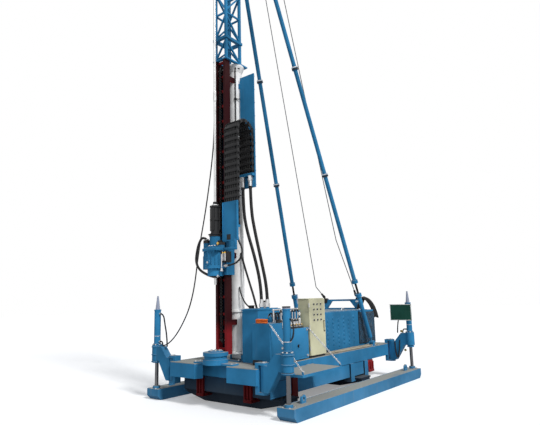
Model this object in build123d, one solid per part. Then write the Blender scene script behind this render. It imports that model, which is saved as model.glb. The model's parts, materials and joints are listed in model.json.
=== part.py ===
from build123d import *

import math
import os

# Jet grouting rig that walks on pontoons, in millimetres.
# The origin is on the ground below the middle of the machine's outline.
# +X is the side with the control cabinet, +Y runs from the mast to the rear, +Z is up.
# Stations, the y values below, are counted from the front ends of the side pontoons.

# Fits
SEAT = 0.3
SLIDE_GAP = 5
HOOK_GAP = 7

# Side pontoons and their lifting lugs
PONTOON_LENGTH = 4550
PONTOON_WIDTH = 300
PONTOON_HEIGHT = 185
PONTOON_OUT = 500
PONTOON_BEVEL = 70
LUG_SETBACK = 350
LUG_WIDTH = 120
LUG_THICKNESS = 30
LUG_EYE_R = 25
LUG_EYE_HEIGHT = 60

# Walking jacks
JACK_INSET = 85
JACK_ROD_R = 33
JACK_ROD_LENGTH = 785
JACK_BORE_LENGTH = 700
FOOT_CUP_R = 62
FOOT_CUP_HEIGHT = 45
BARREL_R = 58
BARREL_BOTTOM = 620
BARREL_TOP = 1545
BARREL_FLANGE_R = 88
BARREL_FLANGE_HEIGHT = 22
JACK_TIP_HEIGHT = 240
JACK_TIP_R = 30
JACK_TIP_TOP_R = 14
JACK_CAP_HEIGHT = 30

# Outrigger arms and their hinge pins
ARM_THICKNESS = 130
ARM_BOTTOM = 350
ARM_TOP = 730
ARM_SLEEVE_BOTTOM = 660
ARM_SLEEVE_TOP = 905
ARM_SLEEVE_R = 88
ARM_KNUCKLE_R = 55
ARM_PIN_OUT = 70
ARM_PIN_R = 28
ARM_PIN_HEAD = 12
HINGE_LUG_HEIGHT = 35
ARM_STEP = 100
ARM_RISE = 150
ARM_FOOT = 110
ARM_UNDERCUT = 200

# Deck
DECK_HALF = 950
DECK_FRONT = -30
DECK_REAR_INSET = 10
DECK_TOP = 680
DECK_PLATE = 10
BEAM_HEIGHT = 240
BEAM_WIDTH = 120
CROSS_BEAM_STATIONS = (360, 1400, 2400, 3400)
NOTCH_FRONT = 360
NOTCH_BACK = 200
NOTCH_DEPTH = 260

# Walking boats below the deck, with the sub-frame and claws that ride on them
BOAT_OVERHANG = 150
BOAT_FLAT_HALF = 620
BOAT_NOSE_HEIGHT = 110
BOAT_HEIGHT = 175
BOAT_FLANGE = 25
BOAT_FLANGE_HALF = 200
BOAT_BODY_HALF = 160
FRONT_BOAT_STATION = 630
REAR_BOAT_INSET = 594
SUB_BOTTOM = 200
SUB_FRONT = 290
SUB_SETBACK = 890
SADDLE_HALF = 120
CLAW_PLATE = 33
CLAW_WIDTH = 160
CLAW_CHEEK = 30
CLAW_REACH = 140
CLAW_BOTTOM = 115
FRONT_CLAW_X = 530

# Mast column and foot
COLUMN_STATION = 630
COLUMN_R = 125
COLUMN_TOP = 5970
COLUMN_FLANGE_R = 170
COLUMN_FLANGE = 28
COLUMN_FLARE = 110
COLUMN_COLLAR_Z = 1500
COLUMN_COLLAR_R = 150
FOOT_PIN_Z = 745
FOOT_PIN_R = 25
FOOT_LUG_R = 40
FOOT_LUG_HALF = 100
FOOT_EAR = 40
FOOT_PLATE = 20
COLUMN_BASE_Z = 800

# Mast rails, rungs and feed chain
RAIL_INNER = 80
RAIL_WIDTH = 45
RAIL_FRONT = 230
RAIL_DEPTH = 130
RAIL_BOTTOM = 820
RUNG_FIRST = 900
RUNG_PITCH = 280
RUNG_HEIGHT = 40
RUNG_DEPTH = 40
STRUT_INNER = 50
STRUT_HALF = 45
STRUT_LEVELS = (1320, 2440, 3560, 4680, 5660)
SPROCKET_R = 55
CHAIN_THICKNESS = 16
CHAIN_PITCH = 100
CHAIN_LINK = 62
CHAIN_WIDE = 22
CHAIN_NARROW = 13

# Lattice tower on top of the mast
LATTICE_HALF = 150
LATTICE_FRONT = 240
LATTICE_REAR = 650
LATTICE_LEG = 45
LATTICE_BAR = 28
LATTICE_FLANGE = 25
LATTICE_LIP = 16
ADAPTER_HEIGHT = 430
LATTICE_SECTION = 2000
LATTICE_BAYS = 4

# Crown block and its sheave
CROWN_PLATE = 25
SHEAVE_R = 140
SHEAVE_WIDTH = 50
SHEAVE_GROOVE = 22
SHEAVE_PIN_R = 20
SHEAVE_LIFT = 170
CROWN_CHEEK = 15
CROWN_CHEEK_R = 60

# Stays from the lattice to the deck
STAY_TOP_OUT = 28
STAY_TOP_BACK = 65
STAY_TOP_Z = 9970
STAY_FOOT_INSET = 55
STAY_FOOT_SETBACK = 750
STAY_FOOT_Z = 750
STAY_R = 42
STAY_EYE_R = 42
STAY_EYE_HALF = 15
STAY_NECK_R = 15
STAY_NECK_LENGTH = 110
STAY_PIN_R = 18
STAY_EAR_GAP = 32
STAY_EAR = 14
STAY_JOINTS = (0.165, 0.398, 0.63)
STAY_JOINT_R = 62
STAY_JOINT_LENGTH = 70
STAY_TUBE_END = 0.868
STAY_END_START = 0.891
STAY_SCREW_R = 22
STAY_SCREW_REACH = 400
STAY_FOOT_PIN_R = 22
STAY_FOOT_EYE_R = 30

# Rotary head
SPINDLE_STATION = 100
HEAD_BOTTOM = 2080
HEAD_CASE = (2200, 2560)
HEAD_TOP = 2760
HEAD_DRUM_R = 130
HEAD_CASE_R = 165
HEAD_NECK_R = 95
SPINDLE_R = 50
LOBES = (
    # x, radius, motor height
    (-165, 90, 260),
    (115, 75, 200),
)
LOBE_TOP = 2420
MOTOR_R = 62
CARRIAGE_HALF = 165
CARRIAGE_PLATE = 30
CARRIAGE_BOTTOM = 2100
CARRIAGE_TOP = 2740
CLIP_DEPTH = 25
CLIP_HEIGHT = 150

# Chuck and drill rod
CHUCK_R = 75
CHUCK_RING_R = 92
CHUCK_TOP = 3260
CHUCK_RING = 28
DRILL_ROD_R = 22.5
DRILL_ROD_STUB = 110
DRILL_ROD_TOP = 9600

# Drag chain, its trough and the bracket that carries its moving end
DRAG_X = (170, 474)
DRAG_HEIGHT = 55
DRAG_FRONT = 145
DRAG_BEND_R = 165
DRAG_BEND_Z = 4547
DRAG_PITCH = 110
DRAG_WEB = 16
DRAG_BAR = 10
DRAG_BAR_LENGTH = 60
DRAG_MOVING_END = 2900
DRAG_FIXED_END = 3850
BRACKET_PLATE = 25
BRACKET_BOTTOM = 2640
BRACKET_TOP = 3300
BRACKET_SEAT = 40
BRACKET_ARM = 18
BRACKET_ARM_HEIGHT = 110
TROUGH_TOP = 5700
TROUGH_PLATE = 20
TROUGH_SEAT = 50
TROUGH_SKIRT = 200
TROUGH_LIP = 14

# Rod vise at the front of the deck
VISE_PLATE_HALF = 430
VISE_PLATE = 25
VISE_DEPTH = 80
VISE_TOP = 890
VISE_BORE_R = 55
VISE_R = 205
VISE_FLANGE = 55
VISE_GROOVE = 22
VISE_LID = 20
VISE_LID_R = 120
VISE_RAIL_GAP = 15

# Power pack
PACK_WIDTH = 350
PACK_STATIONS = (310, 640, 1370)
PACK_BOTTOM = 700
PACK_FRONT_TOP = 1310
PACK_REAR_TOP = 1200
PACK_SKID_HEIGHT = 20
TANK_LEFT = 250
TANK_GAP = 10
TANK_STATIONS = (470, 1050)
TANK_TOP = 1530
TANK_RIM = 18
VALVE_INSET = 50
VALVE_FIRST = 700
VALVE_COUNT = 7
VALVE_PITCH = 78
VALVE_SECTION = 62
VALVE_HEIGHT = 110
LEVER_R = 8
LEVER_HEIGHT = 170
MOTOR_GAP = 40
MOTOR_FOOT_HALF = 120
MOTOR_STATIONS = (1150, 1650)
MOTOR_BODY_R = 150
MOTOR_AXIS_Z = 870
PUMP_R = 85
PUMP_LENGTH = 220

# Control cabinet
CABINET_DEPTH = 230
CABINET_STATIONS = (1420, 1920)
CABINET_BOTTOM = 720
CABINET_TOP = 1670
CABINET_WALL = 20
CABINET_DOOR = 20
CABINET_PLINTH_INSET = 20
CABINET_HINGE_OUT = 5
CABINET_HINGE_R = 6
CABINET_HINGE_HEIGHT = 70
CABINET_HINGE_LEAF = 8
CABINET_HINGE_LEVELS = (860, 1460)
BUTTON_R = 14
BUTTON_LENGTH = 14
BUTTON_ROWS = 4
BUTTON_COLUMNS = 3
BUTTON_PITCH_Y = 110
BUTTON_PITCH_Z = 90
HANDLE_LENGTH = 150

# Rear housing, its grilles and the mast rest
HOUSING_INSET = 200
HOUSING_GAP = 280
HOUSING_SETBACK = 290
HOUSING_TOP = 1410
GRILLE_LENGTH = 710
GRILLE_END = 20
GRILLE_BOTTOM = 740
GRILLE_TOP = 1370
GRILLE_FRAME = 30
GRILLE_DEPTH = 14
GRILLE_BARS = 16
GRILLE_BAR = 14
REST_SETBACK = 100
REST_HALF = 430
REST_TOP = 1640
REST_THICKNESS = 60
REST_POST = 70
REST_SILL = 40
REST_SLOPE = 120

# Sign plate at the rear jack
SIGN_WIDTH = 480
SIGN_HEIGHT = 340
SIGN_PLATE = 12
SIGN_INSET = 140
SIGN_Z = 1340

# Operator platform
PLATFORM_OUT = 45
PLATFORM_WIDTH = 565
PLATFORM_STATIONS = (290, 1395)
PLATFORM_TOP = 600
PLATFORM_PLATE = 12
PLATFORM_DEPTH = 40
PLATFORM_RIB = 30
PLATFORM_RIBS = 5
PLATFORM_HINGE_OUT = 22
PLATFORM_HINGE_DROP = 15
PLATFORM_HINGE_R = 14
PLATFORM_PIN_R = 7
PLATFORM_KNUCKLE = 100
PLATFORM_KNUCKLE_INSETS = (40, 960)
CHAIN_BAR = 14
CHAIN_STATIONS = (310, 1360)
CHAIN_ANCHOR_Z = (1290, 1180)
CHAIN_ANCHOR_OUT = 14
CHAIN_ANCHOR_HALF = 14
CHAIN_LUG_HEIGHT = 40

# Hydraulic hoses from the mast to the oil tank, hoses on the head, and the cable to the front jack
HOSE_R = 27
HOSE_UNION_R = 35
HOSE_UNION_HEIGHT = 60
HOSE_UNION_SHARES = (0.71, 0.89)
CORD_ARC_SHARE = 0.45
HEAD_HOSE_R = 15
HEAD_HOSE_X = 430
HEAD_HOSE_Z = 2240
HEAD_SOCKET_R = 20
HEAD_SOCKET = 25
CABLE_R = 11
CABLE_GLAND_R = 16
CABLE_GLAND = 50
CABLE_CLAMP_X = 205
CABLE_CLAMP_Z = 5300
CABLE_GLAND_X = 1290

# Values worked out from those above
ORIGIN_STATION = (PONTOON_LENGTH + SPINDLE_STATION - HEAD_CASE_R) / 2
JACK_STATIONS = (JACK_INSET, PONTOON_LENGTH - JACK_INSET)
PONTOON_X = DECK_HALF + PONTOON_OUT
DECK_REAR = PONTOON_LENGTH - DECK_REAR_INSET
SUB_REAR = DECK_REAR - SUB_SETBACK
BOAT_HALF_LENGTH = DECK_HALF + BOAT_OVERHANG
REAR_BOAT_STATION = SUB_REAR - REAR_BOAT_INSET
BEAM_BOTTOM = DECK_TOP - BEAM_HEIGHT
ARM_PIN_X = DECK_HALF + ARM_PIN_OUT
HOOK_TOP = BOAT_HEIGHT - BOAT_FLANGE - HOOK_GAP
RAIL_OUTER = RAIL_INNER + RAIL_WIDTH
RAIL_REAR = RAIL_FRONT + RAIL_DEPTH
RUNG_MIDDLE = RAIL_FRONT + RAIL_DEPTH / 2
RUNG_COUNT = int((COLUMN_TOP - RUNG_FIRST) // RUNG_PITCH) + 1
CHAIN_BOTTOM = RUNG_FIRST + RUNG_PITCH / 2
CHAIN_TOP = RUNG_FIRST + (RUNG_COUNT - 1.5) * RUNG_PITCH
LATTICE_BASE = COLUMN_TOP + ADAPTER_HEIGHT
LATTICE_TOP = LATTICE_BASE + 3 * LATTICE_SECTION
SPINDLE_BOTTOM = HEAD_BOTTOM - CHUCK_RING
CARRIAGE_REAR = RAIL_FRONT - SLIDE_GAP
CARRIAGE_FRONT = CARRIAGE_REAR - CARRIAGE_PLATE
DRAG_REAR_FRONT = DRAG_FRONT + DRAG_HEIGHT + 2 * DRAG_BEND_R
TROUGH_FRONT = DRAG_REAR_FRONT + DRAG_HEIGHT + SLIDE_GAP
BRACKET_FRONT = DRAG_FRONT - SLIDE_GAP - BRACKET_PLATE
PACK_X = (DECK_HALF - PACK_WIDTH, DECK_HALF)
TANK_X = (TANK_LEFT, PACK_X[0] - TANK_GAP)
VALVE_X = (PACK_X[0] + VALVE_INSET, PACK_X[1] - VALVE_INSET)
MOTOR_X = TANK_X[1] - MOTOR_GAP - MOTOR_BODY_R
CABINET_X = (DECK_HALF - CABINET_DEPTH, DECK_HALF)
HOUSING_HALF = DECK_HALF - HOUSING_INSET
HOUSING_STATIONS = (CABINET_STATIONS[1] + HOUSING_GAP, DECK_REAR - HOUSING_SETBACK)
GRILLE_REAR = HOUSING_STATIONS[1] - GRILLE_END
GRILLE_STATIONS = (GRILLE_REAR - GRILLE_LENGTH, GRILLE_REAR)
REST_STATION = HOUSING_STATIONS[1] - REST_SETBACK
SIGN_X = PONTOON_X - SIGN_INSET
DOOR_X = CABINET_X[1] - CABINET_DOOR
CABINET_HINGE_X = CABINET_X[1] + CABINET_HINGE_OUT
CABINET_HINGE_STATION = CABINET_STATIONS[0] - CABINET_HINGE_OUT
PLATFORM_HINGE_X = DECK_HALF + PLATFORM_HINGE_OUT
PLATFORM_HINGE_Z = PLATFORM_TOP - PLATFORM_HINGE_DROP
PLATFORM_X = (DECK_HALF + PLATFORM_OUT, DECK_HALF + PLATFORM_OUT + PLATFORM_WIDTH)
STAY_TOP_X = LATTICE_HALF + STAY_TOP_OUT
STAY_TOP_STATION = LATTICE_REAR + STAY_TOP_BACK
STAY_FOOT_X = DECK_HALF - STAY_FOOT_INSET
STAY_FOOT_STATION = DECK_REAR - STAY_FOOT_SETBACK
STAY_TOP = Vector(STAY_TOP_X, STAY_TOP_STATION, STAY_TOP_Z)
STAY_FOOT = Vector(STAY_FOOT_X, STAY_FOOT_STATION, STAY_FOOT_Z)
STAY_LENGTH = (STAY_FOOT - STAY_TOP).length
STAY_AXIS = (STAY_FOOT - STAY_TOP).normalized()
HOSE_TOP = DRAG_FIXED_END - TROUGH_SEAT - SEAT
HOSE_END = TANK_TOP + HOSE_UNION_HEIGHT
UNION_X = [TANK_X[0] + share * (TANK_X[1] - TANK_X[0]) for share in HOSE_UNION_SHARES]
CABLE_GLAND_Z = ARM_SLEEVE_TOP + CABLE_GLAND_R
HEAD_SOCKET_X = LOBES[1][0] + LOBES[1][1] + HEAD_SOCKET
DRAG_MIDDLE = DRAG_FRONT + DRAG_HEIGHT / 2

# Cord routes, in the station frame
HEAD_HOSE_ROUTE = (
    (HEAD_HOSE_X, DRAG_MIDDLE, DRAG_MOVING_END - BRACKET_SEAT - SEAT),
    (HEAD_HOSE_X, DRAG_MIDDLE, 2680),
    (545, DRAG_MIDDLE, 2500),
    (520, 160, 2340),
    (400, SPINDLE_STATION, HEAD_HOSE_Z),
    (HEAD_SOCKET_X + SEAT, SPINDLE_STATION, HEAD_HOSE_Z),
)
CABLE_ROUTE = (
    (-CABLE_CLAMP_X, RUNG_MIDDLE, CABLE_CLAMP_Z - SEAT),
    (-CABLE_CLAMP_X, RUNG_MIDDLE, 4650),
    (-280, 280, 3950),
    (-395, 250, 3200),
    (-515, 220, 2610),
    (-616, 170, 1700),
    (-883, 120, 1190),
    (-1170, JACK_STATIONS[0], CABLE_GLAND_Z),
    (SEAT - CABLE_GLAND_X, JACK_STATIONS[0], CABLE_GLAND_Z),
)
HOSE_ROUTES = (
    (
        (230, 557, HOSE_TOP),
        (230, 557, 3250),
        (285, 575, 2870),
        (420, 610, 2420),
        (UNION_X[0], 690, 1900),
        (UNION_X[0], 690, HOSE_END),
    ),
    (
        (400, 557, HOSE_TOP),
        (400, 557, 3230),
        (465, 590, 2790),
        (535, 660, 2300),
        (UNION_X[1], 770, 1860),
        (UNION_X[1], 770, HOSE_END),
    ),
)


def span(x, y, z):
    """Box whose low and high sides are given along each axis."""
    pairs = (x, y, z)
    centre = [(low + high) / 2 for low, high in pairs]
    size = [high - low for low, high in pairs]
    return Pos(*centre) * Box(*size)


def post(x, y, z, radius):
    """Upright cylinder between two heights."""
    return Pos(x, y, (z[0] + z[1]) / 2) * Cylinder(radius, z[1] - z[0])


def bar_x(x, y, z, radius):
    """Cylinder along X."""
    return Pos((x[0] + x[1]) / 2, y, z) * Rot(0, 90, 0) * Cylinder(radius, x[1] - x[0])


def bar_y(x, y, z, radius):
    """Cylinder along Y."""
    return Pos(x, (y[0] + y[1]) / 2, z) * Rot(90, 0, 0) * Cylinder(radius, y[1] - y[0])


def outline_xz(points, y):
    """Outline in X and Z, carried along Y."""
    face = Plane.XZ * make_face(Polyline(*points, close=True))
    return Pos(0, (y[0] + y[1]) / 2, 0) * extrude(face, (y[1] - y[0]) / 2, both=True)


def outline_yz(points, x):
    """Outline in Y and Z, carried along X."""
    face = Plane.YZ * make_face(Polyline(*points, close=True))
    return Pos((x[0] + x[1]) / 2, 0, 0) * extrude(face, (x[1] - x[0]) / 2, both=True)


def outline_xy(points, z):
    """Outline in X and Y, carried upwards."""
    face = make_face(Polyline(*points, close=True))
    return Pos(0, 0, z[0]) * extrude(face, z[1] - z[0])


def square_bar(start, end, side):
    """Square bar between two points."""
    along = Vector(*end) - Vector(*start)
    low = (Align.CENTER, Align.CENTER, Align.MIN)
    return Plane(origin=start, z_dir=along) * Box(side, side, along.length, align=low)


def round_bar(start, end, radius):
    """Round bar between two points."""
    along = Vector(*end) - Vector(*start)
    low = (Align.CENTER, Align.CENTER, Align.MIN)
    return Plane(origin=start, z_dir=along) * Cylinder(radius, along.length, align=low)


def joined(pieces):
    """One solid from pieces that touch or overlap."""
    return pieces[0] + pieces[1:]


def apart(pieces):
    """Like pieces that don't touch, kept together."""
    return Compound(children=list(pieces))


def other_side(shape):
    """The same piece on the other side of the middle plane."""
    return mirror(shape, about=Plane.YZ)


def both_sides(shape):
    return apart([shape, other_side(shape)])


def pontoon():
    """Long side shoe with bevelled ends, foot cups and lifting lugs."""
    ends = (0, PONTOON_LENGTH)
    side = (
        (ends[0] + PONTOON_BEVEL, 0),
        (ends[1] - PONTOON_BEVEL, 0),
        (ends[1], PONTOON_BEVEL),
        (ends[1], PONTOON_HEIGHT),
        (ends[0], PONTOON_HEIGHT),
        (ends[0], PONTOON_BEVEL),
    )
    half = PONTOON_WIDTH / 2
    body = [outline_yz(side, (PONTOON_X - half, PONTOON_X + half))]
    holes = []
    for station in JACK_STATIONS:
        cup = (PONTOON_HEIGHT, PONTOON_HEIGHT + FOOT_CUP_HEIGHT)
        body.append(post(PONTOON_X, station, cup, FOOT_CUP_R))
        holes.append(post(PONTOON_X, station, cup, JACK_ROD_R + SEAT))
    lug_x = (PONTOON_X - LUG_THICKNESS / 2, PONTOON_X + LUG_THICKNESS / 2)
    eye_z = PONTOON_HEIGHT + LUG_EYE_HEIGHT
    for station in (JACK_STATIONS[0] + LUG_SETBACK, JACK_STATIONS[1] - LUG_SETBACK):
        foot = (station - LUG_WIDTH / 2, station + LUG_WIDTH / 2)
        body.append(span(lug_x, foot, (PONTOON_HEIGHT, eye_z)))
        body.append(bar_x(lug_x, station, eye_z, LUG_WIDTH / 2))
        holes.append(bar_x(lug_x, station, eye_z, LUG_EYE_R))
    return joined(body) - holes


def jack_rods():
    """Piston rods that stand in the cups of one pontoon."""
    top = PONTOON_HEIGHT + JACK_ROD_LENGTH
    return apart(post(PONTOON_X, s, (PONTOON_HEIGHT, top), JACK_ROD_R) for s in JACK_STATIONS)


def jack_barrels():
    """Cylinder barrels, each with a flange that sits on its arm."""
    barrels = []
    for station in JACK_STATIONS:
        flange = (ARM_SLEEVE_TOP, ARM_SLEEVE_TOP + BARREL_FLANGE_HEIGHT)
        gland = (BARREL_BOTTOM, ARM_SLEEVE_BOTTOM - BARREL_FLANGE_HEIGHT / 2)
        barrel = joined([
            post(PONTOON_X, station, (BARREL_BOTTOM, BARREL_TOP), BARREL_R),
            post(PONTOON_X, station, flange, BARREL_FLANGE_R),
            post(PONTOON_X, station, gland, BARREL_R + BARREL_FLANGE_HEIGHT / 2),
            post(PONTOON_X, station, (BARREL_TOP - BARREL_FLANGE_HEIGHT, BARREL_TOP), BARREL_R + SLIDE_GAP),
        ])
        bore = (BARREL_BOTTOM, BARREL_BOTTOM + JACK_BORE_LENGTH)
        barrel -= post(PONTOON_X, station, bore, JACK_ROD_R + SEAT)
        barrels.append(barrel)
    return apart(barrels + [other_side(barrel) for barrel in barrels])


def jack_tips():
    """Tapered tips on three jacks, and the flat cap of the fourth."""
    tips = []
    for side, station in ((-1, 0), (-1, 1), (1, 1)):
        middle = BARREL_TOP + JACK_TIP_HEIGHT / 2
        place = Pos(side * PONTOON_X, JACK_STATIONS[station], middle)
        tips.append(place * Cone(JACK_TIP_R, JACK_TIP_TOP_R, JACK_TIP_HEIGHT))
    cap = (BARREL_TOP, BARREL_TOP + JACK_CAP_HEIGHT)
    tips.append(post(PONTOON_X, JACK_STATIONS[0], cap, BARREL_R))
    return apart(tips)


def outrigger_arms():
    """Box arms from the deck's corners to the jacks."""
    face = (
        (ARM_PIN_X, ARM_BOTTOM),
        (ARM_PIN_X, ARM_TOP),
        (ARM_PIN_X + ARM_STEP, ARM_TOP),
        (ARM_PIN_X + ARM_STEP + ARM_RISE, ARM_SLEEVE_TOP),
        (PONTOON_X, ARM_SLEEVE_TOP),
        (PONTOON_X, ARM_SLEEVE_BOTTOM),
        (ARM_PIN_X + ARM_FOOT + ARM_UNDERCUT, ARM_SLEEVE_BOTTOM),
        (ARM_PIN_X + ARM_FOOT, ARM_BOTTOM),
    )
    arms = []
    for station in JACK_STATIONS:
        width = (station - ARM_THICKNESS / 2, station + ARM_THICKNESS / 2)
        box = outline_xz(face, width)
        clear = span(
            (ARM_PIN_X - ARM_KNUCKLE_R, ARM_PIN_X + ARM_KNUCKLE_R / 2),
            width,
            (ARM_BOTTOM, ARM_TOP),
        )
        knuckle = post(ARM_PIN_X, station, (ARM_BOTTOM, ARM_TOP), ARM_KNUCKLE_R)
        sleeve = (ARM_SLEEVE_BOTTOM, ARM_SLEEVE_TOP)
        arm = joined([box - clear, knuckle, post(PONTOON_X, station, sleeve, ARM_SLEEVE_R)])
        arm -= post(ARM_PIN_X, station, (ARM_BOTTOM, ARM_TOP), ARM_PIN_R + SEAT)
        arm -= post(PONTOON_X, station, sleeve, BARREL_R + SEAT)
        arms.append(arm)
    gland_x = (-CABLE_GLAND_X - CABLE_GLAND, -CABLE_GLAND_X)
    gland = bar_x(gland_x, JACK_STATIONS[0], CABLE_GLAND_Z, CABLE_GLAND_R + SEAT)
    front_left = joined([other_side(arms[0]), gland])
    return apart(arms + [front_left, other_side(arms[1])])


def arm_pins():
    """Headed hinge pins of the arms."""
    pins = []
    top = ARM_TOP + SEAT + HINGE_LUG_HEIGHT
    bottom = ARM_BOTTOM - SEAT - HINGE_LUG_HEIGHT
    for station in JACK_STATIONS:
        shank = post(ARM_PIN_X, station, (bottom, top), ARM_PIN_R)
        head = post(ARM_PIN_X, station, (top, top + ARM_PIN_HEAD), ARM_PIN_R + ARM_PIN_HEAD)
        pins.append(joined([shank, head]))
    return apart(pins + [other_side(pin) for pin in pins])


def notch(z):
    """Drill opening at the front edge of the deck."""
    front = DECK_FRONT - SLIDE_GAP
    points = (
        (-NOTCH_FRONT, front),
        (NOTCH_FRONT, front),
        (NOTCH_BACK, DECK_FRONT + NOTCH_DEPTH),
        (-NOTCH_BACK, DECK_FRONT + NOTCH_DEPTH),
    )
    return outline_xy(points, z)


def arm_bracket(station):
    """Deck corner with the two lugs of an arm's hinge."""
    width = (station - ARM_THICKNESS / 2, station + ARM_THICKNESS / 2)
    upper = (ARM_TOP + SEAT, ARM_TOP + SEAT + HINGE_LUG_HEIGHT)
    lower = (ARM_BOTTOM - SEAT - HINGE_LUG_HEIGHT, ARM_BOTTOM - SEAT)
    cheek = span((DECK_HALF - BEAM_WIDTH / 2, DECK_HALF), width, (lower[0], upper[1]))
    pieces = [cheek]
    for level in (upper, lower):
        pieces.append(span((DECK_HALF - BEAM_WIDTH / 2, ARM_PIN_X), width, level))
        pieces.append(post(ARM_PIN_X, station, level, ARM_THICKNESS / 2))
    bracket = joined(pieces)
    return bracket - post(ARM_PIN_X, station, (lower[0], upper[1]), ARM_PIN_R + SEAT)


def deck_frame():
    """Welded deck beams with the arm brackets and the platform's hinge knuckles."""
    z = (BEAM_BOTTOM, DECK_TOP - DECK_PLATE)
    length = (DECK_FRONT, DECK_REAR)
    inside = (-DECK_HALF, DECK_HALF)
    half = BEAM_WIDTH / 2
    beams = [
        span((DECK_HALF - BEAM_WIDTH, DECK_HALF), length, z),
        span((-DECK_HALF, BEAM_WIDTH - DECK_HALF), length, z),
        span(inside, (DECK_FRONT, DECK_FRONT + BEAM_WIDTH), z),
        span(inside, (DECK_REAR - BEAM_WIDTH, DECK_REAR), z),
    ]
    beams += [span(inside, (s - half, s + half), z) for s in CROSS_BEAM_STATIONS]
    frame = joined(beams) - notch(z)
    for station in JACK_STATIONS:
        bracket = arm_bracket(station)
        frame = frame + [bracket, other_side(bracket)]
    return frame + [platform_knuckle(s) for s in platform_hinge_stations()]


def deck_plate():
    """Deck floor with the drill opening and room for the arm brackets."""
    z = (DECK_TOP - DECK_PLATE, DECK_TOP)
    plate = span((-DECK_HALF, DECK_HALF), (DECK_FRONT, DECK_REAR), z) - notch(z)
    for station in JACK_STATIONS:
        width = (station - ARM_THICKNESS / 2, station + ARM_THICKNESS / 2)
        corner = span((DECK_HALF - BEAM_WIDTH / 2, DECK_HALF), width, z)
        plate -= [corner, other_side(corner)]
    return plate


def front_claw_rear():
    """Rear face of the front cross-beam, where the front claws are bolted."""
    return FRONT_BOAT_STATION - BOAT_FLANGE_HALF - HOOK_GAP - CLAW_PLATE


def sub_frame():
    """Beams below the deck, with a saddle on each boat."""
    inner = DECK_HALF - BEAM_WIDTH
    z = (SUB_BOTTOM, BEAM_BOTTOM)
    beams = [
        span((inner, DECK_HALF), (SUB_FRONT, SUB_REAR), z),
        span((-DECK_HALF, -inner), (SUB_FRONT, SUB_REAR), z),
        span((-inner, inner), (SUB_FRONT, front_claw_rear()), z),
        span((-inner, inner), (SUB_REAR - BEAM_WIDTH, SUB_REAR), z),
    ]
    saddle_z = (BOAT_HEIGHT + SEAT, BEAM_BOTTOM)
    for station in (FRONT_BOAT_STATION, REAR_BOAT_STATION):
        width = (station - SADDLE_HALF, station + SADDLE_HALF)
        beams.append(span((-inner, inner), width, saddle_z))
    return joined(beams)


def side_claw(station, way):
    """Hooked claw round a side beam, on one side of a boat."""
    edge = BOAT_FLANGE_HALF + HOOK_GAP
    inside = BOAT_BODY_HALF + HOOK_GAP
    inner = DECK_HALF - BEAM_WIDTH
    outer = DECK_HALF + CLAW_CHEEK
    near, far = sorted((station + way * edge, station + way * (edge + CLAW_REACH)))
    tip, root = sorted((station + way * inside, station + way * (edge + CLAW_PLATE)))
    return joined([
        span((DECK_HALF, outer), (near, far), (CLAW_BOTTOM, BEAM_BOTTOM)),
        span((inner, outer), (near, far), (CLAW_BOTTOM, SUB_BOTTOM)),
        span((inner, outer), (tip, root), (CLAW_BOTTOM, HOOK_TOP)),
    ])


def front_claws():
    """Claws of the front boat: on the front cross-beam and on the side beams."""
    x = (FRONT_CLAW_X - CLAW_WIDTH / 2, FRONT_CLAW_X + CLAW_WIDTH / 2)
    rear = front_claw_rear()
    inside = FRONT_BOAT_STATION - BOAT_BODY_HALF - HOOK_GAP
    front = joined([
        span(x, (rear, rear + CLAW_PLATE), (CLAW_BOTTOM, BEAM_BOTTOM)),
        span(x, (rear, inside), (CLAW_BOTTOM, HOOK_TOP)),
    ])
    side = side_claw(FRONT_BOAT_STATION, 1)
    return apart([front, other_side(front), side, other_side(side)])


def rear_claws():
    """Claws of the rear boat, all on the side beams."""
    claws = [side_claw(REAR_BOAT_STATION, -1), side_claw(REAR_BOAT_STATION, 1)]
    return apart(claws + [other_side(claw) for claw in claws])


def boat(station):
    """Cross sled with upturned noses and a flange that the claws hold."""
    top = BOAT_HEIGHT - BOAT_FLANGE
    hull = (
        (-BOAT_FLAT_HALF, 0),
        (BOAT_FLAT_HALF, 0),
        (BOAT_HALF_LENGTH, BOAT_NOSE_HEIGHT),
        (BOAT_HALF_LENGTH, top),
        (-BOAT_HALF_LENGTH, top),
        (-BOAT_HALF_LENGTH, BOAT_NOSE_HEIGHT),
    )
    body = outline_xz(hull, (station - BOAT_BODY_HALF, station + BOAT_BODY_HALF))
    flange = span(
        (-BOAT_HALF_LENGTH, BOAT_HALF_LENGTH),
        (station - BOAT_FLANGE_HALF, station + BOAT_FLANGE_HALF),
        (top, BOAT_HEIGHT),
    )
    return joined([body, flange])


def mast_foot():
    """Foot plate with two ears and the pin that the mast tilts on."""
    ear = (FOOT_LUG_HALF + SLIDE_GAP, FOOT_LUG_HALF + SLIDE_GAP + FOOT_EAR)
    plate_z = (DECK_TOP, DECK_TOP + FOOT_PLATE)
    y = (COLUMN_STATION - COLUMN_FLANGE_R, COLUMN_STATION + COLUMN_FLANGE_R)
    pieces = [span((-COLUMN_FLANGE_R, COLUMN_FLANGE_R), y, plate_z)]
    for x in (ear, (-ear[1], -ear[0])):
        width = (COLUMN_STATION - FOOT_LUG_R, COLUMN_STATION + FOOT_LUG_R)
        pieces.append(span(x, width, (plate_z[0], FOOT_PIN_Z)))
        pieces.append(bar_x(x, COLUMN_STATION, FOOT_PIN_Z, FOOT_LUG_R))
    pieces.append(bar_x((-ear[1], ear[1]), COLUMN_STATION, FOOT_PIN_Z, FOOT_PIN_R))
    return joined(pieces)


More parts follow.
